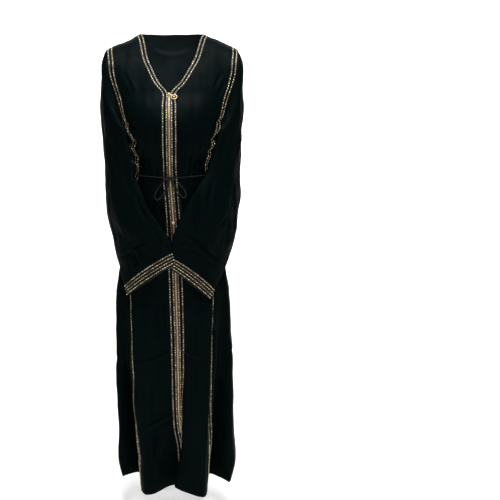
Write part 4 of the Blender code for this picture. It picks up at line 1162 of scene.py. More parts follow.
class Wire:
    """A node's socket that can stand in sums, products and powers."""

    def __init__(self, finish, socket):
        self.finish = finish
        self.socket = socket

    def _with(self, operation, first, second):
        return self.finish.add("ShaderNodeMath", {"operation": operation}, {0: first, 1: second})

    def __add__(self, other):
        return self._with("ADD", self, other)

    __radd__ = __add__

    def __sub__(self, other):
        return self._with("SUBTRACT", self, other)

    def __rsub__(self, other):
        return self._with("SUBTRACT", other, self)

    def __mul__(self, other):
        return self._with("MULTIPLY", self, other)

    __rmul__ = __mul__

    def __pow__(self, other):
        return self._with("POWER", self, other)


class Finish:
    """A material, its shader, and the one method that adds its other nodes."""

    def __init__(self, name, **plain):
        self.material = bpy.data.materials.new(name)
        self.material.use_nodes = True
        self.tree = self.material.node_tree
        self.shader = self.tree.nodes["Principled BSDF"]
        for label, value in plain.items():
            self.shader.inputs[label.replace("_", " ")].default_value = value

    def add(self, kind, settings, sockets, output=0):
        node = self.tree.nodes.new(kind)
        for label, value in settings.items():
            setattr(node, label, value)
        for label, value in sockets.items():
            if isinstance(value, Wire):
                self.tree.links.new(value.socket, node.inputs[label])
            else:
                node.inputs[label].default_value = value
        return Wire(self, node.outputs[output])

    def places(self, scale=(1.0, 1.0, 1.0)):
        where = self.add("ShaderNodeTexCoord", {}, {}, "Object")
        return self.add("ShaderNodeMapping", {}, {"Vector": where, "Scale": scale})

    def noise(self, places, scale, detail=2.0):
        sockets = {"Vector": places, "Scale": scale, "Detail": detail}
        return self.add("ShaderNodeTexNoise", {}, sockets, "Fac")

    def mixed(self, share, first, second):
        sockets = {0: share, 6: (*first, 1.0), 7: (*second, 1.0)}
        return self.add("ShaderNodeMix", {"data_type": "RGBA"}, sockets, 2)

    def feed(self, label, wire):
        self.tree.links.new(wire.socket, self.shader.inputs[label])

    def raise_by(self, height, distance, strength=1.0):
        sockets = {"Height": height, "Distance": distance, "Strength": strength}
        self.feed("Normal", self.add("ShaderNodeBump", {}, sockets, "Normal"))
        return self.material


def woven(name, colour, gloss):
    """A pebbled twisted weave."""
    finish = Finish(name, Specular_IOR_Level=gloss)
    places = finish.places()
    broad = finish.noise(places, 7.0)
    patch = finish.noise(places, 42.0, 3.0)
    pebble = finish.noise(places, 2300.0, 1.0)
    warp = finish.noise(finish.places((1.0, 1.0, 0.16)), 1900.0, 1.0)
    weft = finish.noise(finish.places((0.16, 0.16, 1.0)), 2100.0, 1.0)
    weave = pebble * 0.5 + warp * 0.45 + weft * 0.35
    share = broad * 0.55 + patch * 0.2 + weave * 0.22
    light = [value * 1.55 for value in colour]
    dark = [value * 0.62 for value in colour]
    finish.feed("Base Color", finish.mixed(share, dark, light))
    finish.feed("Roughness", 0.46 + patch * 0.08 + pebble * 0.10)
    return finish.raise_by(weave + patch * 0.6, 0.00028, 0.55)


@functools.lru_cache(maxsize=None)
def crepe():
    """The right side of the fine black crepe."""
    cloth = bpy.context.scene.abaya_cloth
    return woven("black_crepe", cloth.colour, cloth.gloss)


@functools.lru_cache(maxsize=None)
def crepe_wrong_side_painted_light():
    """The wrong side of the crepe, flatter and paler: partly its own paler tone, and partly painted
    light that brightens the inside of the back neck.
    """
    cloth = bpy.context.scene.abaya_cloth
    return woven("black_crepe_inside", cloth.inside, cloth.gloss)


@functools.lru_cache(maxsize=None)
def braid():
    """The dark gold braid that the beads are sewn on."""
    finish = Finish("braid", Metallic=0.3)
    places = finish.places()
    thread = finish.noise(places, 1500.0, 2.0)
    dark, light = (0.004, 0.0026, 0.0018), (0.036, 0.022, 0.012)
    finish.feed("Base Color", finish.mixed(thread ** 1.6, dark, light))
    finish.feed("Roughness", 0.38 + thread * 0.25)
    return finish.raise_by(thread, 0.0004, 0.8)


def beading(name, deepest, palest):
    """Champagne gold beading, each stone or bead a little lighter or darker than the next."""
    trim = bpy.context.scene.abaya_trim
    finish = Finish(name, Metallic=0.15)
    places = finish.places()
    each = finish.noise(places, 170.0, 1.0)
    fine = finish.noise(places, 1400.0, 1.0)
    pale = [min(1.0, value * palest) for value in trim.colour]
    deep = [value * deepest for value in trim.colour]
    finish.feed("Base Color", finish.mixed(each * 6.5 - 2.95, deep, pale))
    finish.feed("Roughness", 0.18 + each * 0.22)
    return finish.raise_by(fine, 0.00008, 0.4)


@functools.lru_cache(maxsize=None)
def stone_gold():
    """The bright stones along the middle of a row."""
    return beading("stone_gold", 0.26, 1.7)


@functools.lru_cache(maxsize=None)
def bead_gold():
    """The small dim beads between the stones."""
    return beading("bead_gold", 0.02, 0.34)


@functools.lru_cache(maxsize=None)
def zip_cloth():
    """The zip's woven tan tape."""
    finish = Finish("zip_tape", Specular_IOR_Level=0.3)
    rib = finish.noise(finish.places((1.0, 1.0, 9.0)), 320.0, 1.0)
    thread = finish.noise(finish.places(), 2200.0, 1.0)
    dark, light = (0.02, 0.010, 0.005), (0.090, 0.050, 0.026)
    finish.feed("Base Color", finish.mixed(rib * 0.6 + thread * 0.4, dark, light))
    finish.feed("Roughness", 0.62 + thread * 0.2)
    return finish.raise_by(rib + thread * 0.6, 0.0002, 0.7)


@functools.lru_cache(maxsize=None)
def zip_gold():
    """Polished gold plate, rubbed darker in patches."""
    zips = bpy.context.scene.abaya_zip
    finish = Finish("zip_gold", Metallic=0.2)
    places = finish.places()
    rub = finish.noise(places, 150.0, 3.0)
    scratch = finish.noise(finish.places((1.0, 1.0, 0.08)), 2600.0, 1.0)
    colour = zips.metal
    worn = [value * 0.40 for value in colour]
    finish.feed("Base Color", finish.mixed(rub * 3.0 - 0.9, worn, colour))
    finish.feed("Roughness", 0.24 + rub * 0.16 + scratch * 0.06)
    return finish.raise_by(scratch, 0.00003, 0.5)


def strand(name, dark, light, scale, gloss, metal):
    finish = Finish(name, Metallic=metal, Specular_IOR_Level=gloss)
    places = finish.places()
    fibre = finish.noise(places, scale, 2.0)
    finish.feed("Base Color", finish.mixed(fibre * 7.0 - 3.4, dark, light))
    finish.feed("Roughness", 0.36 + fibre * 0.3)
    return finish.raise_by(fibre, 0.0002, 0.7)


@functools.lru_cache(maxsize=None)
def cord_black():
    """The cord's black rayon strand."""
    dark, light = (0.0010, 0.0014, 0.0015), (0.0030, 0.0040, 0.0042)
    return strand("cord_black", dark, light, 1800.0, 0.15, 0.0)


@functools.lru_cache(maxsize=None)
def cord_silver():
    """The cord's strand of silver foil thread."""
    dark, light = (0.001, 0.0015, 0.002), (0.034, 0.040, 0.043)
    return strand("cord_silver", dark, light, 340.0, 0.4, 0.5)


@functools.lru_cache(maxsize=None)
def zip_track():
    """The zip's middle line, its directions out and across, and the panels' rows beside it."""
    left, right = (body_panels()["front_" + name] for name in ("left", "right"))
    heights = left.grid[:, 0, 2]
    rows = np.where((heights < ZIP_TOP_Z + 0.0005) & (heights > ZIP_END_Z - 0.0005))[0]
    across = unit(left.grid[rows, 0] - right.grid[rows, 0])
    middle = (left.grid[rows, 0] + right.grid[rows, 0]) / 2
    out = unit(left.normals[rows, 0] + right.normals[rows, 0])
    return middle, out, across, rows


def twisted(path, radius, closed_line):
    """The parts of a three-strand cord along a path: two black strands and one silver."""
    path = np.asarray(path, float)
    places, _ = evenly(path, [], CORD_STEP, closed_line)
    if closed_line:
        forward = unit(np.roll(places, -1, axis=0) - np.roll(places, 1, axis=0))
    else:
        places = np.concatenate([path[:1], places, path[-1:]])
        forward = unit(np.gradient(places, axis=0))
    side = np.cross(forward, [0.0, 0.0, 1.0])
    upright = np.linalg.norm(side, axis=1, keepdims=True) < 0.2
    side = np.where(upright, np.cross(forward, [0.0, 1.0, 0.0]), side)
    sides = [unit(side[0])]
    for way in forward[1:]:
        sides.append(unit(sides[-1] - way * np.dot(sides[-1], way)))
    side = np.array(sides)
    up = np.cross(forward, side)
    passed = distances(places)
    long = passed[-1] + (CORD_STEP if closed_line else 0.0)
    turns = max(1, round(long / CORD_WRAP))
    strand_radius = radius / 2
    around = np.linspace(0, 2 * math.pi, 7)[:-1, None]
    parts = []
    for number in range(3):
        angle = 2 * math.pi * (turns * passed / long + number / 3)
        outward = side * np.cos(angle)[:, None] + up * np.sin(angle)[:, None]
        sideways = np.cross(forward, outward)
        centre = places + outward * (radius - strand_radius)
        ring = outward[:, None] * np.cos(around) + sideways[:, None] * np.sin(around)
        sections = centre[:, None] + ring * strand_radius
        parts.append((1 if number == 2 else 0, (sections, swept(sections, closed_line))))
    return parts


def knot_place():
    low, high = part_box("bow_knot")
    return np.array((low + high) / 2)


def knot_exit(middle, direction):
    """Where a cord that leaves the knot this way ends, just clear of it, and its next point."""
    direction = unit(np.array(direction))
    reach = 1.0 / np.linalg.norm(direction / np.array(KNOT_SIZE)) + KNOT_CLEAR
    return [middle + direction * reach, middle + direction * (reach + CORD_RADIUS)]


def bow_path(bow):
    middle = knot_place()
    leaves = knot_exit(middle, bow.leaves)
    returns = knot_exit(middle, bow.returns) if bow.returns else []
    route = smooth_path([leaves[1], *bow.route, *returns[1:]], 60 if bow.returns else 36)
    return np.concatenate([[leaves[0]], route, np.array(returns[:1]).reshape(-1, 3)])


def waist_path():
    """The cord's way round the waist, over the rows in front and in the gathers elsewhere."""
    panels = body_panels()
    waist = UPPER_ROWS + int(np.argmin(np.abs(fine_places(0.0)[1] + WAIST_Z)))
    near = WALL + CORD_CLEAR + CORD_RADIUS
    over = near + TRIM_GAP + TRIM_THICK
    halves = {}
    for name in ("left", "right"):
        front, flank = panels["front_" + name], panels["side_" + name]
        columns = front.grid.shape[1]
        from_edge = np.minimum(np.arange(columns), columns - 1 - np.arange(columns))
        beside_rows = from_edge - (len(EDGE_COLUMNS) - 1)
        lift = near + (over - near) * ease(1.0 - beside_rows / CORD_FALL_COLUMNS)
        ahead = front.grid[waist] + front.normals[waist] * lift[:, None]
        low = waist - UPPER_ROWS
        beside = flank.grid[low] + flank.normals[low] * near
        halves[name] = np.concatenate([ahead[::3], beside[4::4]])
    behind = panels["back"].grid[waist] + panels["back"].normals[waist] * near
    rough = np.concatenate([halves["left"], behind[4:-4:4], halves["right"][::-1]])
    lap = 6
    lapped = np.concatenate([rough[-lap:], rough, rough[:lap]])
    kernel = np.array([1.0, 2.0, 3.0, 2.0, 1.0]) / 9.0
    smooth = [np.convolve(lapped[:, k], kernel, mode="same") for k in range(3)]
    return np.stack(smooth, axis=-1)[lap:-lap]


def colour_setting(name, description, default):
    return FloatVectorProperty(
        name=name, description=description, default=default, subtype="COLOR", min=0.0, max=1.0
    )


def length_setting(name, description, default):
    return FloatProperty(name=name, description=description, default=default, unit="LENGTH")


def size_setting(name, description, default):
    return FloatVectorProperty(name=name, description=description, default=default, unit="LENGTH")


def share_setting(name, description, default):
    return FloatProperty(
        name=name, description=description, default=default, subtype="FACTOR", min=0.0, max=1.0
    )


def power_setting(name, description, default):
    return FloatProperty(name=name, description=description, default=default, unit="POWER")


class AbayaCloth(bpy.types.PropertyGroup):
    """The crepe that the panels and sleeves are cut from."""

    colour: colour_setting("Crepe colour", "Colour of the crepe", (0.0004, 0.0016, 0.0017))
    # The inside colour is far paler than the crepe's own colour: partly the wrong side's own tone,
    # and partly painted light on the inside of the back neck.
    inside: colour_setting("Inside colour", "Colour of its wrong side", (0.009, 0.0135, 0.0142))
    thickness: length_setting("Cloth thickness", "Thickness of the shown cloth", 0.0009)
    gloss: share_setting("Gloss", "How much the crepe reflects", 0.011)


class AbayaTrim(bpy.types.PropertyGroup):
    """The beaded rows on the placket, princess seams and cuffs."""

    colour: colour_setting("Bead colour", "Colour of the stones and beads", (0.82, 0.58, 0.325))
    pitch: length_setting("Stone pitch", "Distance from one stone to the next", 0.0078)
    stone: size_setting("Stone size", "Half sizes, across, along and out", (0.0010, 0.0018, 0.0009))
    bead: size_setting("Bead size", "Half sizes, across, along and out", (0.0006, 0.0008, 0.0006))


class AbayaZip(bpy.types.PropertyGroup):
    """The zip, its sliders and its ring pull."""

    metal: colour_setting("Metal colour", "Colour of teeth, sliders and ring", (0.52, 0.39, 0.20))
    tooth: length_setting("Tooth pitch", "Distance from one tooth to the next", 0.00095)


class AbayaStudio(bpy.types.PropertyGroup):
    """The floor, lights and surroundings."""

    floor: colour_setting("Floor colour", "Colour of the floor and wall", (0.92, 0.92, 0.92))
    glow: share_setting("Floor glow", "Light that the floor gives off", 0.30)
    around: share_setting("Surroundings", "Brightness all round", 0.14)
    key: power_setting("Key light", "Power of the light at the front left of the view", 3.0)
    fill: power_setting("Fill light", "Power of the low front light", 24.0)
    crown: power_setting("Crown light", "Power of the light almost straight above", 150.0)
    top: power_setting("Top light", "Power of the high front light", 165.0)


class MakeCord(bpy.types.Operator):
    """Makes the twisted cord round the waist, its knot, loops and free ends."""

    bl_idname = "abaya.make_cord"
    bl_label = "Waist cord and bow"

    def execute(self, context):
        self.piece("waist_cord", twisted(waist_path(), CORD_RADIUS, True), "cord_waist")
        self.piece("cord_knot", self.knot(), "bow_knot")
        for bow in BOW:
            path = bow_path(bow)
            parts = twisted(path, bow.radius, False)
            self.piece("cord_" + bow.name, parts, "bow_" + bow.name)
            2 * bow.radius
        return {"FINISHED"}

    def piece(self, name, parts, node):
        finishes = [cord_black(), cord_silver()]
        return shown(name, parts_mesh(name, parts), finishes, node)

    def knot(self):
        """The parts of the knot: two turns of the cord that lean together, and one between them."""
        parts = []
        around = np.linspace(0, 2 * math.pi, 49)[:-1]
        for offset, tilt, wide, tall in KNOT_TURNS:
            depth, height = np.cos(around) * wide, np.sin(around) * tall
            lean = offset + height * math.tan(tilt) * KNOT_LEAN
            path = np.stack([lean, depth, height], axis=-1) + knot_place()
            parts += twisted(path, CORD_RADIUS * KNOT_CORD_SHARE, True)
        return parts


class MakePanels(bpy.types.Operator):
    """Makes the front, side and back panels and the neck binding as thin folded crepe."""

    bl_idname = "abaya.make_panels"
    bl_label = "Panels and neck binding"

    CUTS = {
        "front_left": ((0.215, 1.46), 0.250),
        "front_right": ((0.215, 1.46), 0.250),
        "side_left": ((0.210, 1.17), 0.200),
        "side_right": ((0.210, 1.17), 0.200),
        "back": ((0.560, 1.46), 0.640),
    }

    def execute(self, context):
        panels = body_panels()
        for name, (flat, area) in self.CUTS.items():
            panel = panels[name]
            edges = ((-1, -2),) if name.startswith("front") else ((0, 1), (-1, -2))
            grid = tucked(panel.grid, panel.normals, edges)
            piece = cloth_piece(name, Panel(grid, panel.normals))
        self.binding(panels["back"])
        return {"FINISHED"}

    def binding(self, back):
        """The narrow strip that binds the back neck."""
        quarter = BACK_SEGMENTS // 4
        rows = int(np.searchsorted(fine_places(0.0)[0], BINDING_WIDTH)) + 1
        span = slice(quarter, 3 * quarter + 1)
        finer = np.linspace(0, rows - 1, BINDING_ROWS)
        line = through(np.arange(rows), back.grid[:rows, span], finer)
        out = unit(through(np.arange(rows), back.normals[:rows, span], finer))
        rounded = np.sin(np.linspace(0, math.pi, BINDING_ROWS))[:, None, None]
        low = line + out * (WALL + TRIM_GAP)
        high = line + out * (WALL + TRIM_GAP + BINDING_THICK * (1.0 + rounded))
        mesh = cloth_mesh("neck_binding_cloth", low, high)
        piece = shown("neck_binding_cloth", mesh, [crepe()], "neck_binding")


class MakeSleeves(bpy.types.Operator):
    """Makes both empty sleeves, with their head pleats and drape folds."""

    bl_idname = "abaya.make_sleeves"
    bl_label = "Sleeves"

    def execute(self, context):
        for name in ("right", "left"):
            panel = sleeve_panel(name)[0]
            piece = cloth_piece("sleeve_" + name, panel, closed=True)
        return {"FINISHED"}


class MakePanelRows(bpy.types.Operator):
    """Makes the beaded rows along the placket and the princess seams."""

    bl_idname = "abaya.make_panel_rows"
    bl_label = "Beaded rows on the panels"

    def execute(self, context):
        panels = body_panels()
        seed = 100
        for name in ("right", "left"):
            panel = panels["front_" + name]
            for place, (label, end) in zip((INNER_ROW, OUTER_ROW), PLACKET_TRIM_ENDS):
                above = panel.grid[:, 0, 2] > end
                self.row(f"placket_{name}_{label}", panel, place, above, seed)
                self.row(f"princess_{name}_{label}", panel, -1 - place, slice(None), seed + 1)
                seed += 10
        return {"FINISHED"}

    def row(self, label, panel, place, rows, seed):
        across = unit(panel.grid[rows, place + 1] - panel.grid[rows, place - 1])
        line, out = panel.grid[rows, place], panel.normals[rows, place]
        beaded_row(label, line, out, across, WALL + TRIM_GAP, False, seed)


class MakeCuffRows(bpy.types.Operator):
    """Makes the four beaded rows round each cuff."""

    bl_idname = "abaya.make_cuff_rows"
    bl_label = "Beaded rows on the cuffs"

    def execute(self, context):
        for name in ("right", "left"):
            panel, first, insets = sleeve_panel(name)
            for k in range(CUFF_TRIMS):
                inset = CUFF_EDGE + k * CUFF_TRIM_STEP + TRIM_WIDTH / 2
                row = first + int(np.argmin(np.abs(np.array(insets) - inset)))
                across = unit(panel.grid[row + 1] - panel.grid[row - 1])
                label = f"cuff_{name}_{CUFF_TRIMS - k}"
                seed = 300 + 10 * k + len(name)
                line, out = panel.grid[row], panel.normals[row]
                beaded_row(label, line, out, across, CUFF_TRIM_GAP, True, seed)
        return {"FINISHED"}


BLOCK_FACES = ((0, 1, 2, 3), (7, 6, 5, 4), (0, 4, 5, 1), (1, 5, 6, 2), (2, 6, 7, 3), (3, 7, 4, 0))


class MakeZip(bpy.types.Operator):
    """Makes the zip's two tapes and its chain of teeth."""

    bl_idname = "abaya.make_zip"
    bl_label = "Zip tapes and teeth"

    def execute(self, context):
        panels = body_panels()
        middle, out, across, rows = zip_track()
        for name, side in (("right", -1), ("left", 1)):
            panel = panels["front_" + name]
            start = middle + across * (side * TAPE_INNER)
            edge, under = panel.grid[rows, 0], panel.grid[rows, 2]
            edge_out, under_out = panel.normals[rows, 0], panel.normals[rows, 2]
            between_edges = [start + (edge - start) * share for share in (0.12, 0.5)]
            grid = np.stack([start, *between_edges, edge, under], axis=1)
            normals = np.stack([out, out, unit(out + edge_out), edge_out, under_out], axis=1)
            low = grid - normals * (TRIM_GAP + TAPE_THICK)
            high = grid - normals * TRIM_GAP
            high[:, 0] += normals[:, 0] * TAPE_BEAD
            tape = "tape_" + name
            mesh = cloth_mesh(tape, low, high)
            piece = shown(tape, mesh, [zip_cloth()], "zip_" + tape)
        self.teeth(middle, out, across)
        return {"FINISHED"}

    def teeth(self, middle, out, across):
        """Teeth from both sides in turn, each a small block with a narrower nose."""
        pitch = bpy.context.scene.abaya_zip.tooth
        places, (outward, sideways) = evenly(middle, [out, across], pitch)
        outward, sideways = unit(outward), unit(sideways)
        forward = np.cross(outward, sideways)
        side = np.where(np.arange(len(places)) % 2 == 0, 1.0, -1.0)[:, None]
        length, height = pitch * 0.84, CHAIN_THICK * 0.86
        root = (CHAIN_HALF * 0.60, length / 2, 0.0, height)
        nose = (-CHAIN_HALF * 0.35, length * 0.36, height * 0.14, height * 0.86)
        corners = []
        for reach, half, low, high in (root, nose):
            for along, lift in ((-half, low), (half, low), (half, high), (-half, high)):
                spot = places + sideways * side * reach + forward * along
                corners.append(spot + outward * (lift + TEETH_LIFT))
        sections = np.stack(corners, axis=1)
        base = np.arange(len(places))[:, None, None] * len(corners)
        faces = (np.array(BLOCK_FACES) + base).reshape(-1, 4)
        mesh = mesh_from("zip_teeth", sections.reshape(-1, 3), faces.tolist())
        work = bmesh.new()
        work.from_mesh(mesh)
        bmesh.ops.recalc_face_normals(work, faces=work.faces[:])
        work.to_mesh(mesh)
        work.free()
        shown("zip_teeth", mesh, [zip_gold()], "zip_chain", smooth=False)


def zip_frame(height):
    """Place and axes on the chain at this height: across, along the chain upward, and out."""
    middle, out, _, _ = zip_track()
    row = int(np.searchsorted(-middle[:, 2], -height)) - 1
    t = (middle[row, 2] - height) / (middle[row, 2] - middle[row + 1, 2])
    place = middle[row] + (middle[row + 1] - middle[row]) * t
    up = unit(middle[max(row - 3, 0)] - middle[row + 4])
    normal = unit(out[row] + (out[row + 1] - out[row]) * t)
    across = unit(np.cross(up, normal))
    normal = np.cross(across, up)
    turn = Matrix(np.stack([across, up, normal], axis=1).tolist()).to_4x4()
    return Matrix.Translation(Vector(place.tolist())) @ turn


def rounded_plate(work, outline, low, high, radius):
    """Adds a plate with this outline, and its upper and lower edges rounded."""
    edge = ((0.0, -radius), (radius * 0.35, -radius * 0.3), (radius, 0.0))
    levels = [(low + rise, inset) for rise, inset in edge]
    levels += [(high - rise, inset) for rise, inset in reversed(edge)]
    away = unit(outline - np.mean(outline, axis=0))
    rings = [
        [work.verts.new((x, y, height)) for x, y in outline + away * inset]
        for height, inset in levels
    ]
    for lower, upper in zip(rings, rings[1:]):
        for k in range(len(lower)):
            m = (k + 1) % len(lower)
            work.faces.new((lower[k], lower[m], upper[m], upper[k]))
    work.faces.new(rings[0][::-1])
    work.faces.new(rings[-1])


def slider_outline(wide, narrow, length):
    """A slider's outline from the front: shoulders above, tapered below, with round corners."""
    points = []
    for turn in np.linspace(0, 2 * math.pi, 33)[:-1]:
        x = np.sign(math.cos(turn)) * abs(math.cos(turn)) ** 0.55
        y = np.sign(math.sin(turn)) * abs(math.sin(turn)) ** 0.6
        half = narrow + (wide - narrow) * ease((y + 1) / 2)
        points.append((x * half / 2, y * length / 2))
    return np.array(points)


class MakeSliders(bpy.types.Operator):
    """Makes the two sliders and the ring pull with its hanging charm."""

    bl_idname = "abaya.make_sliders"
    bl_label = "Sliders and ring pull"

    def execute(self, context):
        low = CHAIN_THICK + TRIM_GAP
        top = low + SLIDER_THICK
        turn = Matrix.Rotation(math.radians(PULL_TURN), 4, "Z")
        hinge = Matrix.Translation((0, 0, top + HINGE_HEIGHT)) @ turn
        frame_top = self.on_joint(zip_frame(ZIP_TOP_Z - SLIDER_TOP_BELOW), hinge)
        work = self.slider(low, top)
        post = (0.0010, 0.0018, HINGE_HEIGHT + 0.0014)
        for x in (-POST_X, POST_X):
            foot = turn @ Vector((x, 0, top + HINGE_HEIGHT / 2))
            self.block(work, post, Matrix.Translation(foot) @ turn)
        bmesh.ops.create_cone(
            work, cap_ends=True, segments=20, radius1=BAR_RADIUS, radius2=BAR_RADIUS,
            depth=BAR_LENGTH, matrix=hinge @ Matrix.Rotation(math.pi / 2, 4, "Y"),
        )
        self.finish("slider_top", work, frame_top, "zip_slider_top")
        self.pull(frame_top @ hinge)
        work = self.slider(low, top)
        tilt = Matrix.Rotation(math.radians(KNOB_TURN), 4, "Z")
        knob = Matrix.Translation((-0.0008, 0.0005, top)) @ tilt @ Matrix.Diagonal((*KNOB_SIZE, 1))
        bmesh.ops.create_uvsphere(work, u_segments=28, v_segments=16, radius=1.0, matrix=knob)
        self.finish("slider_low", work, zip_frame(SLIDER_LOW_Z), "zip_slider_low")
        return {"FINISHED"}

    def on_joint(self, place, hinge):
        """The slider's place, moved slightly so that its bar lies on the pull's joint."""
        joint = frame["joints"][0]
        bar = place @ hinge
        tilt = Vector(bar.col[0][:3]).rotation_difference(-Vector(joint["axis"]))
        to_bar = Matrix.Translation(-bar.translation)
        return Matrix.Translation(joint["pos_m"]) @ tilt.to_matrix().to_4x4() @ to_bar @ place

    def slider(self, low, top):
        """Two plates, the upper one smaller and sunk a little into the lower."""
        work = bmesh.new()
        height = top - low
        for share, narrow, long, start, end, radius in (
            (1.0, 0.70, 1.0, 0.0, 0.58, 0.0005),
            (0.86, 0.58, 0.92, 0.50, 1.0, 0.0006),
        ):
            wide = SLIDER_WIDTH * share
            outline = slider_outline(wide, SLIDER_WIDTH * narrow, SLIDER_LENGTH * long)
            rounded_plate(work, outline, low + height * start, low + height * end, radius)
        return work

    def block(self, work, size, place):
        """Adds a block with rounded edges."""
        made = bmesh.ops.create_cube(work, size=1.0, matrix=place @ Matrix.Diagonal((*size, 1)))
        edges = [edge for edge in work.edges if edge.verts[0] in made["verts"]]
        bmesh.ops.bevel(work, geom=edges, offset=0.0002, segments=2, affect="EDGES", profile=0.5)

    def ring(self, work, major, minor, steps, around, place):
        """Adds a wire ring in its own XY plane."""
        rings = []
        for turn in np.linspace(0, 2 * math.pi, steps + 1)[:-1]:
            loop = []
            for roll in np.linspace(0, 2 * math.pi, around + 1)[:-1]:
                reach = major + minor * math.cos(roll)
                spot = (reach * math.cos(turn), reach * math.sin(turn), minor * math.sin(roll))
                loop.append(work.verts.new(place @ Vector(spot)))
            rings.append(loop)
        for k, loop in enumerate(rings):
            following = rings[(k + 1) % steps]
            for j in range(around):
                i = (j + 1) % around
                work.faces.new((loop[j], following[j], following[i], loop[i]))

    def pull(self, hinge):
        """The ring pull, hanging along its own -Y from the hinge bar, which is its X axis."""
        work = bmesh.new()
        centre = Matrix.Translation((0, -RING_REACH, 0))
        self.ring(work, RING_RADIUS, RING_WIRE, 64, 16, centre)
        self.ring(work, EYE_RADIUS, EYE_WIRE, 32, 12, Matrix.Rotation(math.pi / 2, 4, "Y"))
        far = RING_REACH - RING_RADIUS
        stem = (0.0018, far - EYE_RADIUS, 0.0010)
        self.block(work, stem, Matrix.Translation((0, -(EYE_RADIUS + far) / 2, 0)))
        drop = (0.0010, 0.0065, 0.0008)
        self.block(work, drop, Matrix.Translation((0, -far - drop[1] / 2, 0)))
        charm = (CHARM_RADIUS, CHARM_RADIUS * 1.35, CHARM_RADIUS * 0.75, 1)
        bmesh.ops.create_icosphere(
            work, subdivisions=3, radius=1.0, matrix=centre @ Matrix.Diagonal(charm)
        )
        self.finish("ring_pull", work, hinge, "zip_pull", "pull")

    def finish(self, name, work, place, node, body="root"):
        """Turns the faces outward and makes the work mesh a gold piece at this place."""
        bmesh.ops.recalc_face_normals(work, faces=work.faces[:])
        mesh = mesh_from(name, *in_order(work))
        work.free()
        mesh.transform(place)
        shown(name, mesh, [zip_gold()], node, body)
        mesh.set_sharp_from_angle(angle=math.radians(38))


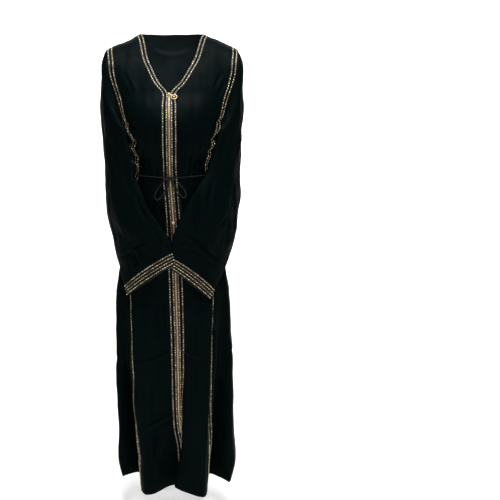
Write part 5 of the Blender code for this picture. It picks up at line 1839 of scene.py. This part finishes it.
class MakeStudio(bpy.types.Operator):
    """Makes the camera at the photograph's place, the pale floor and the soft lights."""

    bl_idname = "abaya.make_studio"
    bl_label = "Camera, floor and lights"

    LIGHTS = (
        ("key", (-1.3, -2.7, 1.5), (0.0, 0.0, -0.55), 1.8),
        ("top", (0.2, -3.0, 3.4), (0.0, 0.0, -0.5), 1.8),
        ("crown", (0.1, -0.55, 2.0), (0.0, 0.0, -0.6), 1.4),
        ("fill", (0.3, -3.2, -0.5), (0.0, 0.0, -0.6), 1.0),
    )
    FLOOR_Z = -1.5
    FLOOR_RADIUS = 14.0
    WALL_RADIUS = 7.0
    WALL_TOP_Z = 7.0
    WALL_HALF_TURN = 32
    WALL_STEP = 4

    def execute(self, context):
        studio = context.scene.abaya_studio
        self.camera(context)
        work = bmesh.new()
        bmesh.ops.create_circle(work, cap_ends=True, segments=96, radius=self.FLOOR_RADIUS)
        mesh = bpy.data.meshes.new("floor")
        work.to_mesh(mesh)
        work.free()
        self.pale(context, mesh, "pale_floor", 0.85, studio.glow).location.z = self.FLOOR_Z
        self.pale(context, self.backdrop(), "pale_wall", 0.9, 1.0)
        world = bpy.data.worlds.new("studio")
        context.scene.world = world
        world.use_nodes = True
        around = world.node_tree.nodes["Background"].inputs
        around["Color"].default_value = (1.0, 1.0, 1.0, 1.0)
        around["Strength"].default_value = studio.around
        for name, place, aim, size in self.LIGHTS:
            self.light(context, name, place, aim, size, getattr(studio, name))
        context.scene.view_settings.view_transform = "Standard"
        return {"FINISHED"}

    def backdrop(self):
        """A wide wall, curved round behind the garment."""
        angles = range(-self.WALL_HALF_TURN, self.WALL_HALF_TURN + 1, self.WALL_STEP)
        arc = [math.radians(angle) for angle in angles]
        radius = self.WALL_RADIUS
        line = [(radius * math.sin(turn), radius * math.cos(turn) - 1.0) for turn in arc]
        points = [(x, y, z) for z in (self.FLOOR_Z, self.WALL_TOP_Z) for x, y in line]
        count = len(line)
        faces = [(k, k + 1, count + k + 1, count + k) for k in range(count - 1)]
        return mesh_from("backdrop", points, faces)

    def pale(self, context, mesh, name, roughness, glow):
        """Shows a part of the stage in a plain pale finish that gives off some light."""
        finish = Finish(
            name, Roughness=roughness, Specular_IOR_Level=0.1,
            Base_Color=(*context.scene.abaya_studio.floor, 1.0),
            Emission_Color=(1.0, 1.0, 1.0, 1.0), Emission_Strength=glow,
        )
        mesh.materials.append(finish.material)
        piece = bpy.data.objects.new(mesh.name, mesh)
        context.scene.collection.objects.link(piece)
        return piece

    def camera(self, context):
        data = bpy.data.cameras.new("camera")
        camera = bpy.data.objects.new("camera", data)
        context.scene.collection.objects.link(camera)
        camera.location = (0.0, -3.0, -0.4)
        camera.rotation_euler = (math.radians(84.84), 0.0, 0.0)
        data.sensor_width = 36.0
        data.lens = 68.6
        data.shift_x = 0.155
        context.scene.camera = camera

    def light(self, context, name, place, aim, size, power):
        data = bpy.data.lights.new(name, "AREA")
        data.shape = "DISK"
        data.size = size
        data.energy = power
        lamp = bpy.data.objects.new(name, data)
        lamp.location = place
        lamp.rotation_euler = (Vector(aim) - Vector(place)).to_track_quat("-Z", "Y").to_euler()
        context.scene.collection.objects.link(lamp)


OPERATORS = (
    MakeStudio, MakeCord, MakePanels, MakeSleeves,
    MakePanelRows, MakeCuffRows, MakeZip, MakeSliders,
)
GROUPS = (
    ("abaya_cloth", AbayaCloth),
    ("abaya_trim", AbayaTrim),
    ("abaya_zip", AbayaZip),
    ("abaya_studio", AbayaStudio),
)


class AbayaPanel(bpy.types.Panel):
    """Lists the abaya's settings and pieces."""

    bl_idname = "VIEW3D_PT_abaya"
    bl_label = "Abaya"
    bl_space_type = "VIEW_3D"
    bl_region_type = "UI"
    bl_category = "Abaya"

    def draw(self, context):
        for label, group in GROUPS:
            box = self.layout.box()
            for name in group.__annotations__:
                box.prop(getattr(context.scene, label), name)
        for operator in OPERATORS:
            self.layout.operator(operator.bl_idname)


def register():
    for label, group in GROUPS:
        bpy.utils.register_class(group)
        setattr(bpy.types.Scene, label, PointerProperty(type=group))
    for operator in OPERATORS:
        bpy.utils.register_class(operator)
    bpy.utils.register_class(AbayaPanel)


def unregister():
    bpy.utils.unregister_class(AbayaPanel)
    for operator in reversed(OPERATORS):
        bpy.utils.unregister_class(operator)
    for label, group in reversed(GROUPS):
        delattr(bpy.types.Scene, label)
        bpy.utils.unregister_class(group)


def main():
    register()
    bpy.ops.abaya.make_studio()
    bpy.ops.abaya.make_cord()
    bpy.ops.abaya.make_panels()
    bpy.ops.abaya.make_sleeves()
    bpy.ops.abaya.make_panel_rows()
    bpy.ops.abaya.make_cuff_rows()
    bpy.ops.abaya.make_zip()
    bpy.ops.abaya.make_sliders()


if __name__ == "__main__":
    main()
